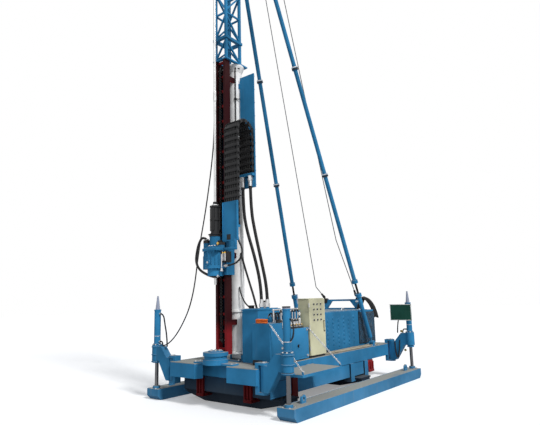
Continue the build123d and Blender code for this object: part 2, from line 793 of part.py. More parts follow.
def mast_column():
    """Round mast column with base flange, collar, flared head and foot lug."""
    flange_bottom = COLUMN_TOP - COLUMN_FLANGE
    flare = Pos(0, COLUMN_STATION, flange_bottom - COLUMN_FLARE / 2)
    lug_x = (-FOOT_LUG_HALF, FOOT_LUG_HALF)
    lug_y = (COLUMN_STATION - FOOT_LUG_R, COLUMN_STATION + FOOT_LUG_R)
    collar = (COLUMN_COLLAR_Z - COLUMN_FLANGE / 2, COLUMN_COLLAR_Z + COLUMN_FLANGE / 2)
    base = (COLUMN_BASE_Z, COLUMN_BASE_Z + COLUMN_FLANGE)
    column = joined([
        post(0, COLUMN_STATION, (COLUMN_BASE_Z, COLUMN_TOP), COLUMN_R),
        post(0, COLUMN_STATION, base, COLUMN_FLANGE_R),
        post(0, COLUMN_STATION, collar, COLUMN_COLLAR_R),
        flare * Cone(COLUMN_R, COLUMN_FLANGE_R, COLUMN_FLARE),
        post(0, COLUMN_STATION, (flange_bottom, COLUMN_TOP), COLUMN_FLANGE_R),
        span(lug_x, lug_y, (FOOT_PIN_Z, COLUMN_BASE_Z)),
        bar_x(lug_x, COLUMN_STATION, FOOT_PIN_Z, FOOT_LUG_R),
    ])
    return column - bar_x(lug_x, COLUMN_STATION, FOOT_PIN_Z, FOOT_PIN_R + SEAT)


def mast_rails():
    """Two rails with rungs, and the struts that reach back to the column."""
    rail_y = (RAIL_FRONT, RAIL_REAR)
    rail = span((RAIL_INNER, RAIL_OUTER), rail_y, (RAIL_BOTTOM, COLUMN_TOP))
    pieces = [rail, other_side(rail)]
    rung_y = (RUNG_MIDDLE - RUNG_DEPTH / 2, RUNG_MIDDLE + RUNG_DEPTH / 2)
    for index in range(RUNG_COUNT):
        middle = RUNG_FIRST + index * RUNG_PITCH
        z = (middle - RUNG_HEIGHT / 2, middle + RUNG_HEIGHT / 2)
        pieces.append(span((-RAIL_INNER, RAIL_INNER), rung_y, z))
    for level in STRUT_LEVELS:
        strut = span(
            (STRUT_INNER, RAIL_INNER),
            (RUNG_MIDDLE, COLUMN_STATION),
            (level - STRUT_HALF, level + STRUT_HALF),
        )
        pieces += [strut, other_side(strut)]
    pieces.append(span(
        (-CABLE_CLAMP_X - CABLE_GLAND_R, -RAIL_INNER),
        (RUNG_MIDDLE - CABLE_GLAND_R, RUNG_MIDDLE + CABLE_GLAND_R),
        (CABLE_CLAMP_Z, CABLE_CLAMP_Z + CABLE_GLAND),
    ))
    ladder = joined(pieces)
    return ladder - post(0, COLUMN_STATION, (RAIL_BOTTOM, COLUMN_TOP), COLUMN_R + SEAT)


def chain_strand(y):
    """One run of the feed chain, with wide and narrow links in turn."""
    right = []
    links = int((CHAIN_TOP - CHAIN_BOTTOM) // CHAIN_PITCH)
    pitch = (CHAIN_TOP - CHAIN_BOTTOM) / links
    for index in range(links):
        low = CHAIN_BOTTOM + index * pitch
        right += [
            (CHAIN_WIDE, low),
            (CHAIN_WIDE, low + CHAIN_LINK),
            (CHAIN_NARROW, low + CHAIN_LINK),
            (CHAIN_NARROW, low + pitch),
        ]
    left = [(-x, z) for x, z in reversed(right)]
    return outline_xz(right + left, (y - CHAIN_THICKNESS / 2, y + CHAIN_THICKNESS / 2))


def feed_chain():
    """Feed chain on its two sprockets between the rails."""
    x = (-CHAIN_NARROW, CHAIN_NARROW)
    outer = SPROCKET_R + CHAIN_THICKNESS / 2
    pieces = [chain_strand(RUNG_MIDDLE - SPROCKET_R), chain_strand(RUNG_MIDDLE + SPROCKET_R)]
    for z in (CHAIN_BOTTOM, CHAIN_TOP):
        pieces.append(bar_x(x, RUNG_MIDDLE, z, outer))
        pieces.append(bar_x((-RAIL_INNER, RAIL_INNER), RUNG_MIDDLE, z, CHAIN_WIDE))
    return joined(pieces)


def lattice_legs():
    """Centres of the four legs, in order round the tower."""
    half = LATTICE_LEG / 2
    x = LATTICE_HALF - half
    front = LATTICE_FRONT + half
    rear = LATTICE_REAR - half
    return ((-x, front), (x, front), (x, rear), (-x, rear))


def lattice_frame(z, rear=LATTICE_REAR):
    """Bolted end frame of a tower section."""
    rim = LATTICE_LEG + LATTICE_LIP
    outer = span(
        (-LATTICE_HALF - LATTICE_LIP, LATTICE_HALF + LATTICE_LIP),
        (LATTICE_FRONT - LATTICE_LIP, rear + LATTICE_LIP),
        z,
    )
    inner = span(
        (LATTICE_LEG - LATTICE_HALF, LATTICE_HALF - LATTICE_LEG),
        (LATTICE_FRONT - LATTICE_LIP + rim, LATTICE_REAR + LATTICE_LIP - rim),
        z,
    )
    return outer - inner


def lattice_section(bottom, height, bays, base_rear=LATTICE_REAR):
    """Tower section with four legs, cross bars and one diagonal in each bay of each side."""
    top = bottom + height
    legs = lattice_legs()
    half = LATTICE_LEG / 2
    pieces = [span((x - half, x + half), (y - half, y + half), (bottom, top)) for x, y in legs]
    pieces.append(lattice_frame((bottom, bottom + LATTICE_FLANGE), base_rear))
    pieces.append(lattice_frame((top - LATTICE_FLANGE, top)))
    bay = height / bays
    for level in range(bays):
        low = bottom + level * bay
        for side in range(4):
            start = legs[side]
            end = legs[(side + 1) % 4]
            if level:
                pieces.append(square_bar((*start, low), (*end, low), LATTICE_BAR))
            if (level + side) % 2:
                start, end = end, start
            lower = low + LATTICE_LEG
            upper = low + bay - LATTICE_LEG
            pieces.append(square_bar((*start, lower), (*end, upper), LATTICE_BAR))
    return joined(pieces)


def sheave_axis():
    """Station and height of the crown sheave's pin."""
    return SPINDLE_STATION + SHEAVE_R, LATTICE_TOP + CROWN_PLATE + SHEAVE_LIFT


def crown_block():
    """Top plate with the cheeks and pin of the sheave."""
    station, height = sheave_axis()
    plate = (LATTICE_TOP, LATTICE_TOP + CROWN_PLATE)
    inner = SHEAVE_WIDTH / 2 + SLIDE_GAP
    pieces = [span((-LATTICE_HALF, LATTICE_HALF), (LATTICE_FRONT, LATTICE_REAR), plate)]
    cheek = (
        (LATTICE_FRONT, plate[0]),
        (LATTICE_REAR, plate[0]),
        (LATTICE_REAR, plate[1]),
        (station + CROWN_CHEEK_R, height),
        (station - CROWN_CHEEK_R / 2, height),
        (LATTICE_FRONT, plate[1]),
    )
    for x in ((inner, inner + CROWN_CHEEK), (-inner - CROWN_CHEEK, -inner)):
        pieces.append(outline_yz(cheek, x))
        pieces.append(bar_x(x, station, height, CROWN_CHEEK_R))
    reach = inner + 2 * CROWN_CHEEK
    pieces.append(bar_x((-reach, reach), station, height, SHEAVE_PIN_R))
    return joined(pieces)


def crown_sheave():
    """Grooved sheave on the crown's pin."""
    station, height = sheave_axis()
    half = SHEAVE_WIDTH / 2
    section = (
        (SHEAVE_PIN_R + SEAT, -half),
        (SHEAVE_R, -half),
        (SHEAVE_R - SHEAVE_GROOVE, 0),
        (SHEAVE_R, half),
        (SHEAVE_PIN_R + SEAT, half),
    )
    profile = Plane.XZ * make_face(Polyline(*section, close=True))
    wheel = revolve(profile, Axis.Z)
    return Pos(0, station, height) * Rot(0, 90, 0) * wheel


def stay_point(share):
    """Point on the right stay's line, as a share of its length."""
    return STAY_TOP + STAY_AXIS * (STAY_LENGTH * share)


def stay_tube():
    """Stay in bolted lengths, with its upper eye and the bore of its screw."""
    eye_x = (STAY_TOP_X - STAY_EYE_HALF, STAY_TOP_X + STAY_EYE_HALF)
    start = STAY_TOP + STAY_AXIS * STAY_NECK_LENGTH
    end = stay_point(STAY_TUBE_END)
    pieces = [
        bar_x(eye_x, STAY_TOP_STATION, STAY_TOP_Z, STAY_EYE_R),
        round_bar(STAY_TOP, start + STAY_AXIS * STAY_NECK_LENGTH, STAY_NECK_R),
        round_bar(start, end, STAY_R),
    ]
    half = STAY_AXIS * (STAY_JOINT_LENGTH / 2)
    for share in STAY_JOINTS:
        middle = stay_point(share)
        pieces.append(round_bar(middle - half, middle + half, STAY_JOINT_R))
    pieces.append(round_bar(end - half * 2, end, STAY_JOINT_R))
    tube = joined(pieces)
    between_ears = (STAY_TOP_X - STAY_EAR_GAP, STAY_TOP_X + STAY_EAR_GAP)
    tube -= bar_x(between_ears, STAY_TOP_STATION, STAY_TOP_Z, STAY_PIN_R + SEAT)
    depth = STAY_AXIS * (STAY_SCREW_REACH + STAY_JOINT_LENGTH * 3)
    return tube - round_bar(end - depth, end, STAY_SCREW_R + SEAT)


def stay_screw():
    """Adjusting screw with the lower length of the stay and its foot eye."""
    inside = stay_point(STAY_TUBE_END) - STAY_AXIS * STAY_SCREW_REACH
    shoulder = stay_point(STAY_END_START)
    neck = STAY_FOOT - STAY_AXIS * STAY_NECK_LENGTH
    eye_x = (STAY_FOOT_X - STAY_EYE_HALF, STAY_FOOT_X + STAY_EYE_HALF)
    half = STAY_AXIS * (STAY_JOINT_LENGTH / 2)
    screw = joined([
        round_bar(inside, shoulder + half, STAY_SCREW_R),
        round_bar(shoulder, shoulder + half * 2, STAY_JOINT_R),
        round_bar(shoulder, neck, STAY_R),
        round_bar(neck - half, STAY_FOOT, STAY_NECK_R),
        bar_x(eye_x, STAY_FOOT_STATION, STAY_FOOT_Z, STAY_EYE_R),
    ])
    between_ears = (STAY_FOOT_X - STAY_EAR_GAP, STAY_FOOT_X + STAY_EAR_GAP)
    return screw - bar_x(between_ears, STAY_FOOT_STATION, STAY_FOOT_Z, STAY_FOOT_EYE_R)


def stay_lugs():
    """Ears with pins on the tower's rear face, one pair for each stay."""
    inner = STAY_TOP_X - STAY_EAR_GAP
    outer = STAY_TOP_X + STAY_EAR_GAP
    x = (inner - STAY_EAR, outer + STAY_EAR)
    z = (STAY_TOP_Z - STAY_EYE_R, STAY_TOP_Z + STAY_EYE_R)
    base = span((LATTICE_HALF - LATTICE_LEG, x[1]), (LATTICE_REAR, LATTICE_REAR + STAY_EAR), z)
    pieces = [base, bar_x(x, STAY_TOP_STATION, STAY_TOP_Z, STAY_PIN_R)]
    for ear in ((x[0], inner), (outer, x[1])):
        pieces.append(span(ear, (LATTICE_REAR, STAY_TOP_STATION), z))
        pieces.append(bar_x(ear, STAY_TOP_STATION, STAY_TOP_Z, STAY_EYE_R))
    lug = joined(pieces)
    swing = bar_x((inner, outer), STAY_TOP_STATION, STAY_TOP_Z, STAY_EYE_R + SLIDE_GAP)
    lug -= swing - bar_x((inner, outer), STAY_TOP_STATION, STAY_TOP_Z, STAY_PIN_R)
    return both_sides(lug)


def stay_feet():
    """Deck clevises with the pins of the stays' feet."""
    inner = STAY_FOOT_X - STAY_EAR_GAP
    outer = STAY_FOOT_X + STAY_EAR_GAP
    x = (inner - STAY_EAR, outer + STAY_EAR)
    y = (STAY_FOOT_STATION - STAY_EYE_R, STAY_FOOT_STATION + STAY_EYE_R)
    base = span(x, (y[0] - STAY_EYE_R, y[1] + STAY_EYE_R), (DECK_TOP, DECK_TOP + STAY_EAR))
    pieces = [base, bar_x(x, STAY_FOOT_STATION, STAY_FOOT_Z, STAY_FOOT_PIN_R)]
    for ear in ((x[0], inner), (outer, x[1])):
        pieces.append(span(ear, y, (DECK_TOP, STAY_FOOT_Z)))
        pieces.append(bar_x(ear, STAY_FOOT_STATION, STAY_FOOT_Z, STAY_EYE_R))
    return both_sides(joined(pieces))


def head_carriage():
    """Sliding plate of the rotary head, with shoes that wrap the rails."""
    z = (CARRIAGE_BOTTOM, CARRIAGE_TOP)
    plate = span((-CARRIAGE_HALF, CARRIAGE_HALF), (CARRIAGE_FRONT, CARRIAGE_REAR), z)
    guide_inner = RAIL_OUTER + SLIDE_GAP
    clip_y = (RAIL_REAR + SLIDE_GAP, RAIL_REAR + SLIDE_GAP + CLIP_DEPTH)
    clip_inner = RAIL_INNER + 2 * SLIDE_GAP
    pad = (CARRIAGE_REAR, RAIL_FRONT - SEAT)
    shoes = [span((guide_inner, CARRIAGE_HALF), (CARRIAGE_REAR, clip_y[1]), z)]
    for low in (CARRIAGE_BOTTOM, CARRIAGE_TOP - CLIP_HEIGHT):
        level = (low, low + CLIP_HEIGHT)
        shoes.append(span((clip_inner, CARRIAGE_HALF), clip_y, level))
        shoes.append(span((clip_inner, RAIL_OUTER), pad, level))
    return joined([plate] + shoes + [other_side(shoe) for shoe in shoes])


def gearbox():
    """Rotary gearbox with a round case, two motor lobes and the spindle bore."""
    pieces = [
        post(0, SPINDLE_STATION, (HEAD_BOTTOM, HEAD_CASE[0]), HEAD_DRUM_R),
        post(0, SPINDLE_STATION, HEAD_CASE, HEAD_CASE_R),
        post(0, SPINDLE_STATION, (HEAD_CASE[1], HEAD_TOP), HEAD_NECK_R),
    ]
    for x, radius, _ in LOBES:
        pieces.append(post(x, SPINDLE_STATION, (HEAD_CASE[0], LOBE_TOP), radius))
    socket_x = (HEAD_SOCKET_X - 2 * HEAD_SOCKET, HEAD_SOCKET_X)
    pieces.append(bar_x(socket_x, SPINDLE_STATION, HEAD_HOSE_Z, HEAD_SOCKET_R))
    case = joined(pieces)
    reach = HEAD_CASE_R + CARRIAGE_HALF
    behind = span((-reach, reach), (CARRIAGE_FRONT, SPINDLE_STATION + reach), (HEAD_BOTTOM, HEAD_TOP))
    case -= behind
    return case - post(0, SPINDLE_STATION, (HEAD_BOTTOM, HEAD_TOP), SPINDLE_R + SEAT)


def drive_motors():
    """Hydraulic motors that stand on the gearbox's lobes."""
    motors = []
    for x, radius, height in LOBES:
        middle = math.copysign(abs(x) + radius - MOTOR_R, x)
        top = LOBE_TOP + height
        motor = post(middle, SPINDLE_STATION, (LOBE_TOP, top), MOTOR_R)
        case = post(0, SPINDLE_STATION, (LOBE_TOP, HEAD_CASE[1] + SEAT), HEAD_CASE_R + SEAT)
        neck = post(0, SPINDLE_STATION, (HEAD_CASE[1], top), HEAD_NECK_R + SEAT)
        behind = span(
            (middle - 2 * MOTOR_R, middle + 2 * MOTOR_R),
            (CARRIAGE_FRONT - SEAT, CARRIAGE_FRONT + 2 * MOTOR_R),
            (LOBE_TOP, top),
        )
        motors.append(motor - case - neck - behind)
    return apart(motors)


def chuck():
    """Hollow spindle with the rod chuck on top."""
    sleeve = (SPINDLE_BOTTOM, HEAD_TOP + SEAT)
    body = (HEAD_TOP + SEAT, CHUCK_TOP)
    pieces = [
        post(0, SPINDLE_STATION, sleeve, SPINDLE_R),
        post(0, SPINDLE_STATION, body, CHUCK_R),
    ]
    for low in (body[0], (body[0] + body[1]) / 2, body[1] - CHUCK_RING):
        pieces.append(post(0, SPINDLE_STATION, (low, low + CHUCK_RING), CHUCK_RING_R))
    return joined(pieces) - post(0, SPINDLE_STATION, (sleeve[0], body[1]), DRILL_ROD_R + SEAT)


def drill_rod():
    """Drill rod through the head, with a free end below it."""
    bottom = SPINDLE_BOTTOM - DRILL_ROD_STUB
    return post(0, SPINDLE_STATION, (bottom, DRILL_ROD_TOP), DRILL_ROD_R)


def chain_bracket():
    """Plate on the carriage that carries the moving end of the drag chain."""
    arm_x = (CARRIAGE_HALF, CARRIAGE_HALF + BRACKET_ARM)
    plate_y = (BRACKET_FRONT, BRACKET_FRONT + BRACKET_PLATE)
    clamp_z = (DRAG_MOVING_END, DRAG_MOVING_END + DRAG_PITCH)
    seat_z = (DRAG_MOVING_END - BRACKET_SEAT, DRAG_MOVING_END - SEAT)
    return joined([
        span(arm_x, (BRACKET_FRONT, CARRIAGE_REAR), (CARRIAGE_TOP - BRACKET_ARM_HEIGHT, CARRIAGE_TOP)),
        span((CARRIAGE_HALF, DRAG_X[1] + BRACKET_ARM), plate_y, (BRACKET_BOTTOM, BRACKET_TOP)),
        span(DRAG_X, (BRACKET_FRONT, DRAG_FRONT), clamp_z),
        span(DRAG_X, (BRACKET_FRONT, DRAG_FRONT + DRAG_HEIGHT), seat_z),
    ])


def drag_webs():
    """The two side plates' spans across the drag chain."""
    return ((DRAG_X[0], DRAG_X[0] + DRAG_WEB), (DRAG_X[1] - DRAG_WEB, DRAG_X[1]))


def drag_strand(front, bottom, top):
    """Straight run of the drag chain: two side plates with bars across both faces."""
    links = max(1, round((top - bottom) / DRAG_PITCH))
    pitch = (top - bottom) / links
    y = (front, front + DRAG_HEIGHT)
    pieces = [span(web, y, (bottom, top)) for web in drag_webs()]
    for index in range(links):
        middle = bottom + (index + 0.5) * pitch
        z = (middle - DRAG_BAR_LENGTH / 2, middle + DRAG_BAR_LENGTH / 2)
        pieces.append(span(DRAG_X, (y[0], y[0] + DRAG_BAR), z))
        pieces.append(span(DRAG_X, (y[1] - DRAG_BAR, y[1]), z))
    return joined(pieces)


def drag_loop():
    """Bend of the drag chain at its top."""
    centre = DRAG_FRONT + DRAG_HEIGHT + DRAG_BEND_R
    outer = DRAG_BEND_R + DRAG_HEIGHT
    above = (DRAG_BEND_Z, DRAG_BEND_Z + 2 * outer)
    keep = span(DRAG_X, (centre - outer, centre + outer), above)
    pieces = []
    for web in drag_webs():
        ring = bar_x(web, centre, DRAG_BEND_Z, outer) - bar_x(web, centre, DRAG_BEND_Z, DRAG_BEND_R)
        pieces.append(ring & keep)
    bars = round(math.pi * (DRAG_BEND_R + DRAG_HEIGHT / 2) / DRAG_PITCH)
    for index in range(bars):
        turn = Rot(180 * (index + 0.5) / bars, 0, 0)
        for radius in (DRAG_BEND_R + DRAG_BAR, outer - 1.5 * DRAG_BAR):
            depth = (radius - DRAG_BAR / 2, radius + DRAG_BAR / 2)
            bar = span(DRAG_X, depth, (-DRAG_BAR_LENGTH / 2, DRAG_BAR_LENGTH / 2))
            pieces.append(Pos(0, centre, DRAG_BEND_Z) * turn * bar)
    return joined(pieces)


def chain_trough():
    """Back plate of the drag chain's fixed run, held on the column."""
    x = (DRAG_X[0] - TROUGH_LIP, DRAG_X[1] + TROUGH_LIP)
    bottom = DRAG_FIXED_END - TROUGH_SEAT
    rear = TROUGH_FRONT + TROUGH_PLATE
    pieces = [
        span(x, (TROUGH_FRONT, rear), (bottom - TROUGH_SKIRT, TROUGH_TOP)),
        span(DRAG_X, (DRAG_REAR_FRONT, rear), (bottom, DRAG_FIXED_END)),
    ]
    for level in (DRAG_FIXED_END + CLIP_HEIGHT, TROUGH_TOP - CLIP_HEIGHT):
        z = (level - STRUT_HALF, level + STRUT_HALF)
        pieces.append(span((COLUMN_R / 2, x[0] + TROUGH_LIP), (TROUGH_FRONT, rear), z))
    return joined(pieces) - post(0, COLUMN_STATION, (bottom, TROUGH_TOP), COLUMN_R + SEAT)


def rod_vise():
    """Round grooved rod clamp, cut flat towards the rails, on a plate that bridges the drill opening."""
    y = (SPINDLE_STATION - VISE_DEPTH, SPINDLE_STATION + VISE_DEPTH - SLIDE_GAP)
    plate_z = (DECK_TOP, DECK_TOP + VISE_PLATE)
    drum_top = VISE_TOP - VISE_LID
    drum = joined([
        post(0, SPINDLE_STATION, (DECK_TOP, drum_top), VISE_R - VISE_GROOVE),
        post(0, SPINDLE_STATION, (DECK_TOP, plate_z[1] + VISE_FLANGE), VISE_R),
        post(0, SPINDLE_STATION, (drum_top - VISE_FLANGE, drum_top), VISE_R),
        post(0, SPINDLE_STATION, (DECK_TOP, VISE_TOP), VISE_LID_R),
    ])
    behind_y = (RAIL_FRONT - VISE_RAIL_GAP, SPINDLE_STATION + 2 * VISE_R)
    drum -= span((-VISE_R, VISE_R), behind_y, (DECK_TOP, VISE_TOP))
    clamp = joined([span((-VISE_PLATE_HALF, VISE_PLATE_HALF), y, plate_z), drum])
    return clamp - post(0, SPINDLE_STATION, (DECK_TOP, VISE_TOP), VISE_BORE_R)


def power_pack():
    """Stepped housing of the power pack on its skids, with the platform chains' eyes."""
    front, step, rear = PACK_STATIONS
    side = (
        (front, PACK_BOTTOM),
        (rear, PACK_BOTTOM),
        (rear, PACK_REAR_TOP),
        (step, PACK_REAR_TOP),
        (step, PACK_FRONT_TOP),
        (front, PACK_FRONT_TOP),
    )
    pieces = [outline_yz(side, PACK_X)]
    skid = (PACK_X[0] + BEAM_WIDTH / 2, PACK_X[1] - BEAM_WIDTH / 2)
    pieces.append(span(skid, (front + BEAM_WIDTH / 2, rear - BEAM_WIDTH / 2), (DECK_TOP, PACK_BOTTOM)))
    for station, height in zip(CHAIN_STATIONS, CHAIN_ANCHOR_Z):
        half = CHAIN_ANCHOR_HALF
        eye_x = (PACK_X[1], PACK_X[1] + CHAIN_ANCHOR_OUT)
        pieces.append(span(eye_x, (station, station + half), (height - half, height + half)))
    return joined(pieces)


def oil_tank():
    """Oil tank beside the mast, with a rim and the hose unions on its lid."""
    pieces = [span(TANK_X, TANK_STATIONS, (DECK_TOP, TANK_TOP))]
    rim_x = (TANK_X[0] - TANK_RIM / 2, TANK_X[1] + TANK_RIM / 2)
    rim_y = (TANK_STATIONS[0] - TANK_RIM, TANK_STATIONS[1] + TANK_RIM)
    pieces.append(span(rim_x, rim_y, (TANK_TOP - TANK_RIM, TANK_TOP)))
    for route in HOSE_ROUTES:
        x, y, top = route[-1]
        pieces.append(post(x, y, (TANK_TOP, top), HOSE_UNION_R))
    return joined(pieces)


def valve_bank():
    """Control valve sections on a base bar, each with its lever."""
    top = PACK_REAR_TOP + VALVE_HEIGHT
    last = VALVE_FIRST + (VALVE_COUNT - 1) * VALVE_PITCH + VALVE_SECTION
    inset = VALVE_PITCH / 2
    base_x = (VALVE_X[0] + inset, VALVE_X[1] - inset)
    pieces = [span(base_x, (VALVE_FIRST, last), (PACK_REAR_TOP, PACK_REAR_TOP + VALVE_HEIGHT / 2))]
    for index in range(VALVE_COUNT):
        low = VALVE_FIRST + index * VALVE_PITCH
        middle = low + VALVE_SECTION / 2
        pieces.append(span(VALVE_X, (low, low + VALVE_SECTION), (PACK_REAR_TOP, top)))
        pieces.append(post(VALVE_X[1] - inset, middle, (top, top + LEVER_HEIGHT), LEVER_R))
    return joined(pieces)


def pump_motor():
    """Electric motor on feet with the pump on its end."""
    front, rear = MOTOR_STATIONS
    foot_x = (MOTOR_X - MOTOR_FOOT_HALF, MOTOR_X + MOTOR_FOOT_HALF)
    return joined([
        bar_y(MOTOR_X, MOTOR_STATIONS, MOTOR_AXIS_Z, MOTOR_BODY_R),
        bar_y(MOTOR_X, (rear, rear + PUMP_LENGTH), MOTOR_AXIS_Z, PUMP_R),
        span(foot_x, (front + PUMP_R, rear - PUMP_R), (DECK_TOP, MOTOR_AXIS_Z - PUMP_R)),
    ])


def cabinet_shell():
    """Open-fronted control cabinet on its plinth."""
    x = (CABINET_X[0], DOOR_X - SEAT)
    z = (CABINET_BOTTOM, CABINET_TOP)
    wall = CABINET_WALL
    room = span(
        (x[0] + wall, x[1]),
        (CABINET_STATIONS[0] + wall, CABINET_STATIONS[1] - wall),
        (z[0] + wall, z[1] - wall),
    )
    inset = CABINET_PLINTH_INSET
    plinth = span(
        (x[0] + inset, x[1] - inset),
        (CABINET_STATIONS[0] + inset, CABINET_STATIONS[1] - inset),
        (DECK_TOP, CABINET_BOTTOM),
    )
    pieces = [span(x, CABINET_STATIONS, z) - room, plinth]
    leaf_y = (CABINET_STATIONS[0] - CABINET_HINGE_LEAF, CABINET_STATIONS[0])
    for level in CABINET_HINGE_LEVELS:
        barrel = (level, level + CABINET_HINGE_HEIGHT)
        pieces.append(span((DOOR_X - 2 * CABINET_WALL, CABINET_HINGE_X), leaf_y, barrel))
        pieces.append(post(CABINET_HINGE_X, CABINET_HINGE_STATION, barrel, CABINET_HINGE_R))
    return joined(pieces)


def cabinet_door():
    """Door panel with its handle."""
    x = (DOOR_X, CABINET_X[1])
    panel = span(x, CABINET_STATIONS, (CABINET_BOTTOM, CABINET_TOP))
    middle = (CABINET_BOTTOM + CABINET_TOP) / 2
    handle_y = CABINET_STATIONS[1] - CABINET_WALL * 2
    handle = span(
        (CABINET_X[1], CABINET_X[1] + CABINET_DOOR),
        (handle_y - CABINET_WALL / 2, handle_y + CABINET_WALL / 2),
        (middle - HANDLE_LENGTH / 2, middle + HANDLE_LENGTH / 2),
    )
    pieces = [panel, handle]
    for level in CABINET_HINGE_LEVELS:
        barrel = (level + CABINET_HINGE_HEIGHT + SEAT, level + 2 * CABINET_HINGE_HEIGHT)
        leaf_x = (CABINET_X[1] - CABINET_HINGE_LEAF, CABINET_HINGE_X)
        leaf_y = (CABINET_HINGE_STATION, CABINET_STATIONS[0] + CABINET_HINGE_LEAF)
        pieces.append(span(leaf_x, leaf_y, barrel))
        pieces.append(post(CABINET_HINGE_X, CABINET_HINGE_STATION, barrel, CABINET_HINGE_R))
    return joined(pieces)


def cabinet_buttons():
    """Rows of push buttons and lamps on the door."""
    centre = (CABINET_STATIONS[0] + CABINET_STATIONS[1]) / 2
    first = centre - (BUTTON_COLUMNS - 1) / 2 * BUTTON_PITCH_Y
    x = (CABINET_X[1], CABINET_X[1] + BUTTON_LENGTH)
    buttons = []
    for row in range(BUTTON_ROWS):
        height = CABINET_TOP - (row + 1) * BUTTON_PITCH_Z
        for column in range(BUTTON_COLUMNS):
            buttons.append(bar_x(x, first + column * BUTTON_PITCH_Y, height, BUTTON_R))
    return apart(buttons)


def rear_housing():
    """Closed housing over the rear of the deck."""
    return span((-HOUSING_HALF, HOUSING_HALF), HOUSING_STATIONS, (DECK_TOP, HOUSING_TOP))


def grilles():
    """Framed bar grilles on both sides of the housing."""
    x = (HOUSING_HALF, HOUSING_HALF + GRILLE_DEPTH)
    z = (GRILLE_BOTTOM, GRILLE_TOP)
    low, high = GRILLE_STATIONS
    frame = span(x, GRILLE_STATIONS, z) - span(
        x,
        (low + GRILLE_FRAME, high - GRILLE_FRAME),
        (z[0] + GRILLE_FRAME, z[1] - GRILLE_FRAME),
    )
    pitch = (high - low - GRILLE_FRAME) / (GRILLE_BARS + 1)
    bars = []
    for index in range(GRILLE_BARS):
        middle = low + GRILLE_FRAME / 2 + (index + 1) * pitch
        bars.append(span(x, (middle - GRILLE_BAR / 2, middle + GRILLE_BAR / 2), z))
    return both_sides(frame + bars)


def mast_rest():
    """Saddle frame on the housing, with a tapered window."""
    y = (REST_STATION - REST_THICKNESS / 2, REST_STATION + REST_THICKNESS / 2)
    inner = REST_HALF - REST_POST
    frame = span((-REST_HALF, REST_HALF), y, (HOUSING_TOP, REST_TOP))
    window = (
        (-inner, HOUSING_TOP + REST_SILL),
        (inner, HOUSING_TOP + REST_SILL),
        (inner - REST_SLOPE, REST_TOP - REST_SILL),
        (REST_SLOPE - inner, REST_TOP - REST_SILL),
    )
    return frame - outline_xz(window, y)


def sign_plate():
    """Blank sign on a bracket at the rear jack."""
    y = JACK_STATIONS[1] - BARREL_R
    z = (SIGN_Z - SIGN_HEIGHT / 2, SIGN_Z + SIGN_HEIGHT / 2)
    x = (SIGN_X - SIGN_WIDTH / 2, SIGN_X + SIGN_WIDTH / 2)
    plate = span(x, (y - SIGN_PLATE * 2, y - SIGN_PLATE), z)
    bracket = span(
        (PONTOON_X - BARREL_R, PONTOON_X + BARREL_R),
        (y - SIGN_PLATE, JACK_STATIONS[1]),
        (SIGN_Z - SIGN_PLATE, SIGN_Z + SIGN_PLATE),
    )
    return joined([plate, bracket]) - post(PONTOON_X, JACK_STATIONS[1], z, BARREL_R + SEAT)


def platform_hinge_stations():
    """Front ends of the deck's hinge knuckles."""
    return [PLATFORM_STATIONS[0] + inset for inset in PLATFORM_KNUCKLE_INSETS]


def platform_knuckle(station):
    """Hinge knuckle on the deck's side, with the pin that reaches the platform's knuckle."""
    y = (station, station + PLATFORM_KNUCKLE)
    pin = (station, station + 2 * PLATFORM_KNUCKLE - SLIDE_GAP)
    level = (PLATFORM_HINGE_Z - PLATFORM_HINGE_R, PLATFORM_HINGE_Z + PLATFORM_HINGE_R)
    return joined([
        bar_y(PLATFORM_HINGE_X, y, PLATFORM_HINGE_Z, PLATFORM_HINGE_R),
        span((DECK_HALF - SLIDE_GAP, PLATFORM_HINGE_X), y, level),
        bar_y(PLATFORM_HINGE_X, pin, PLATFORM_HINGE_Z, PLATFORM_PIN_R),
    ])


def platform():
    """Fold-down platform on ribs, with its hinge knuckles and chain lugs."""
    under = PLATFORM_TOP - PLATFORM_DEPTH
    pieces = [span(PLATFORM_X, PLATFORM_STATIONS, (PLATFORM_TOP - PLATFORM_PLATE, PLATFORM_TOP))]
    low, high = PLATFORM_STATIONS
    pitch = (high - low - PLATFORM_RIB) / (PLATFORM_RIBS - 1)
    for index in range(PLATFORM_RIBS):
        rib = (low + index * pitch, low + index * pitch + PLATFORM_RIB)
        pieces.append(span(PLATFORM_X, rib, (under, PLATFORM_TOP)))
    for edge in (PLATFORM_X[0], PLATFORM_X[1] - PLATFORM_RIB):
        pieces.append(span((edge, edge + PLATFORM_RIB), PLATFORM_STATIONS, (under, PLATFORM_TOP)))
    holes = []
    for station in platform_hinge_stations():
        y = (station + PLATFORM_KNUCKLE + SEAT, station + 2 * PLATFORM_KNUCKLE)
        level = (PLATFORM_HINGE_Z - PLATFORM_HINGE_R, PLATFORM_HINGE_Z + PLATFORM_HINGE_R)
        pieces.append(bar_y(PLATFORM_HINGE_X, y, PLATFORM_HINGE_Z, PLATFORM_HINGE_R))
        pieces.append(span((PLATFORM_HINGE_X, PLATFORM_X[0] + SLIDE_GAP), y, level))
        holes.append(bar_y(PLATFORM_HINGE_X, y, PLATFORM_HINGE_Z, PLATFORM_PIN_R + SEAT))
    for station in CHAIN_STATIONS:
        lug_x = (PLATFORM_X[1] - PLATFORM_RIB, PLATFORM_X[1])
        lug_y = (station, station + CHAIN_ANCHOR_HALF)
        pieces.append(span(lug_x, lug_y, (PLATFORM_TOP, PLATFORM_TOP + CHAIN_LUG_HEIGHT)))
    return joined(pieces) - holes


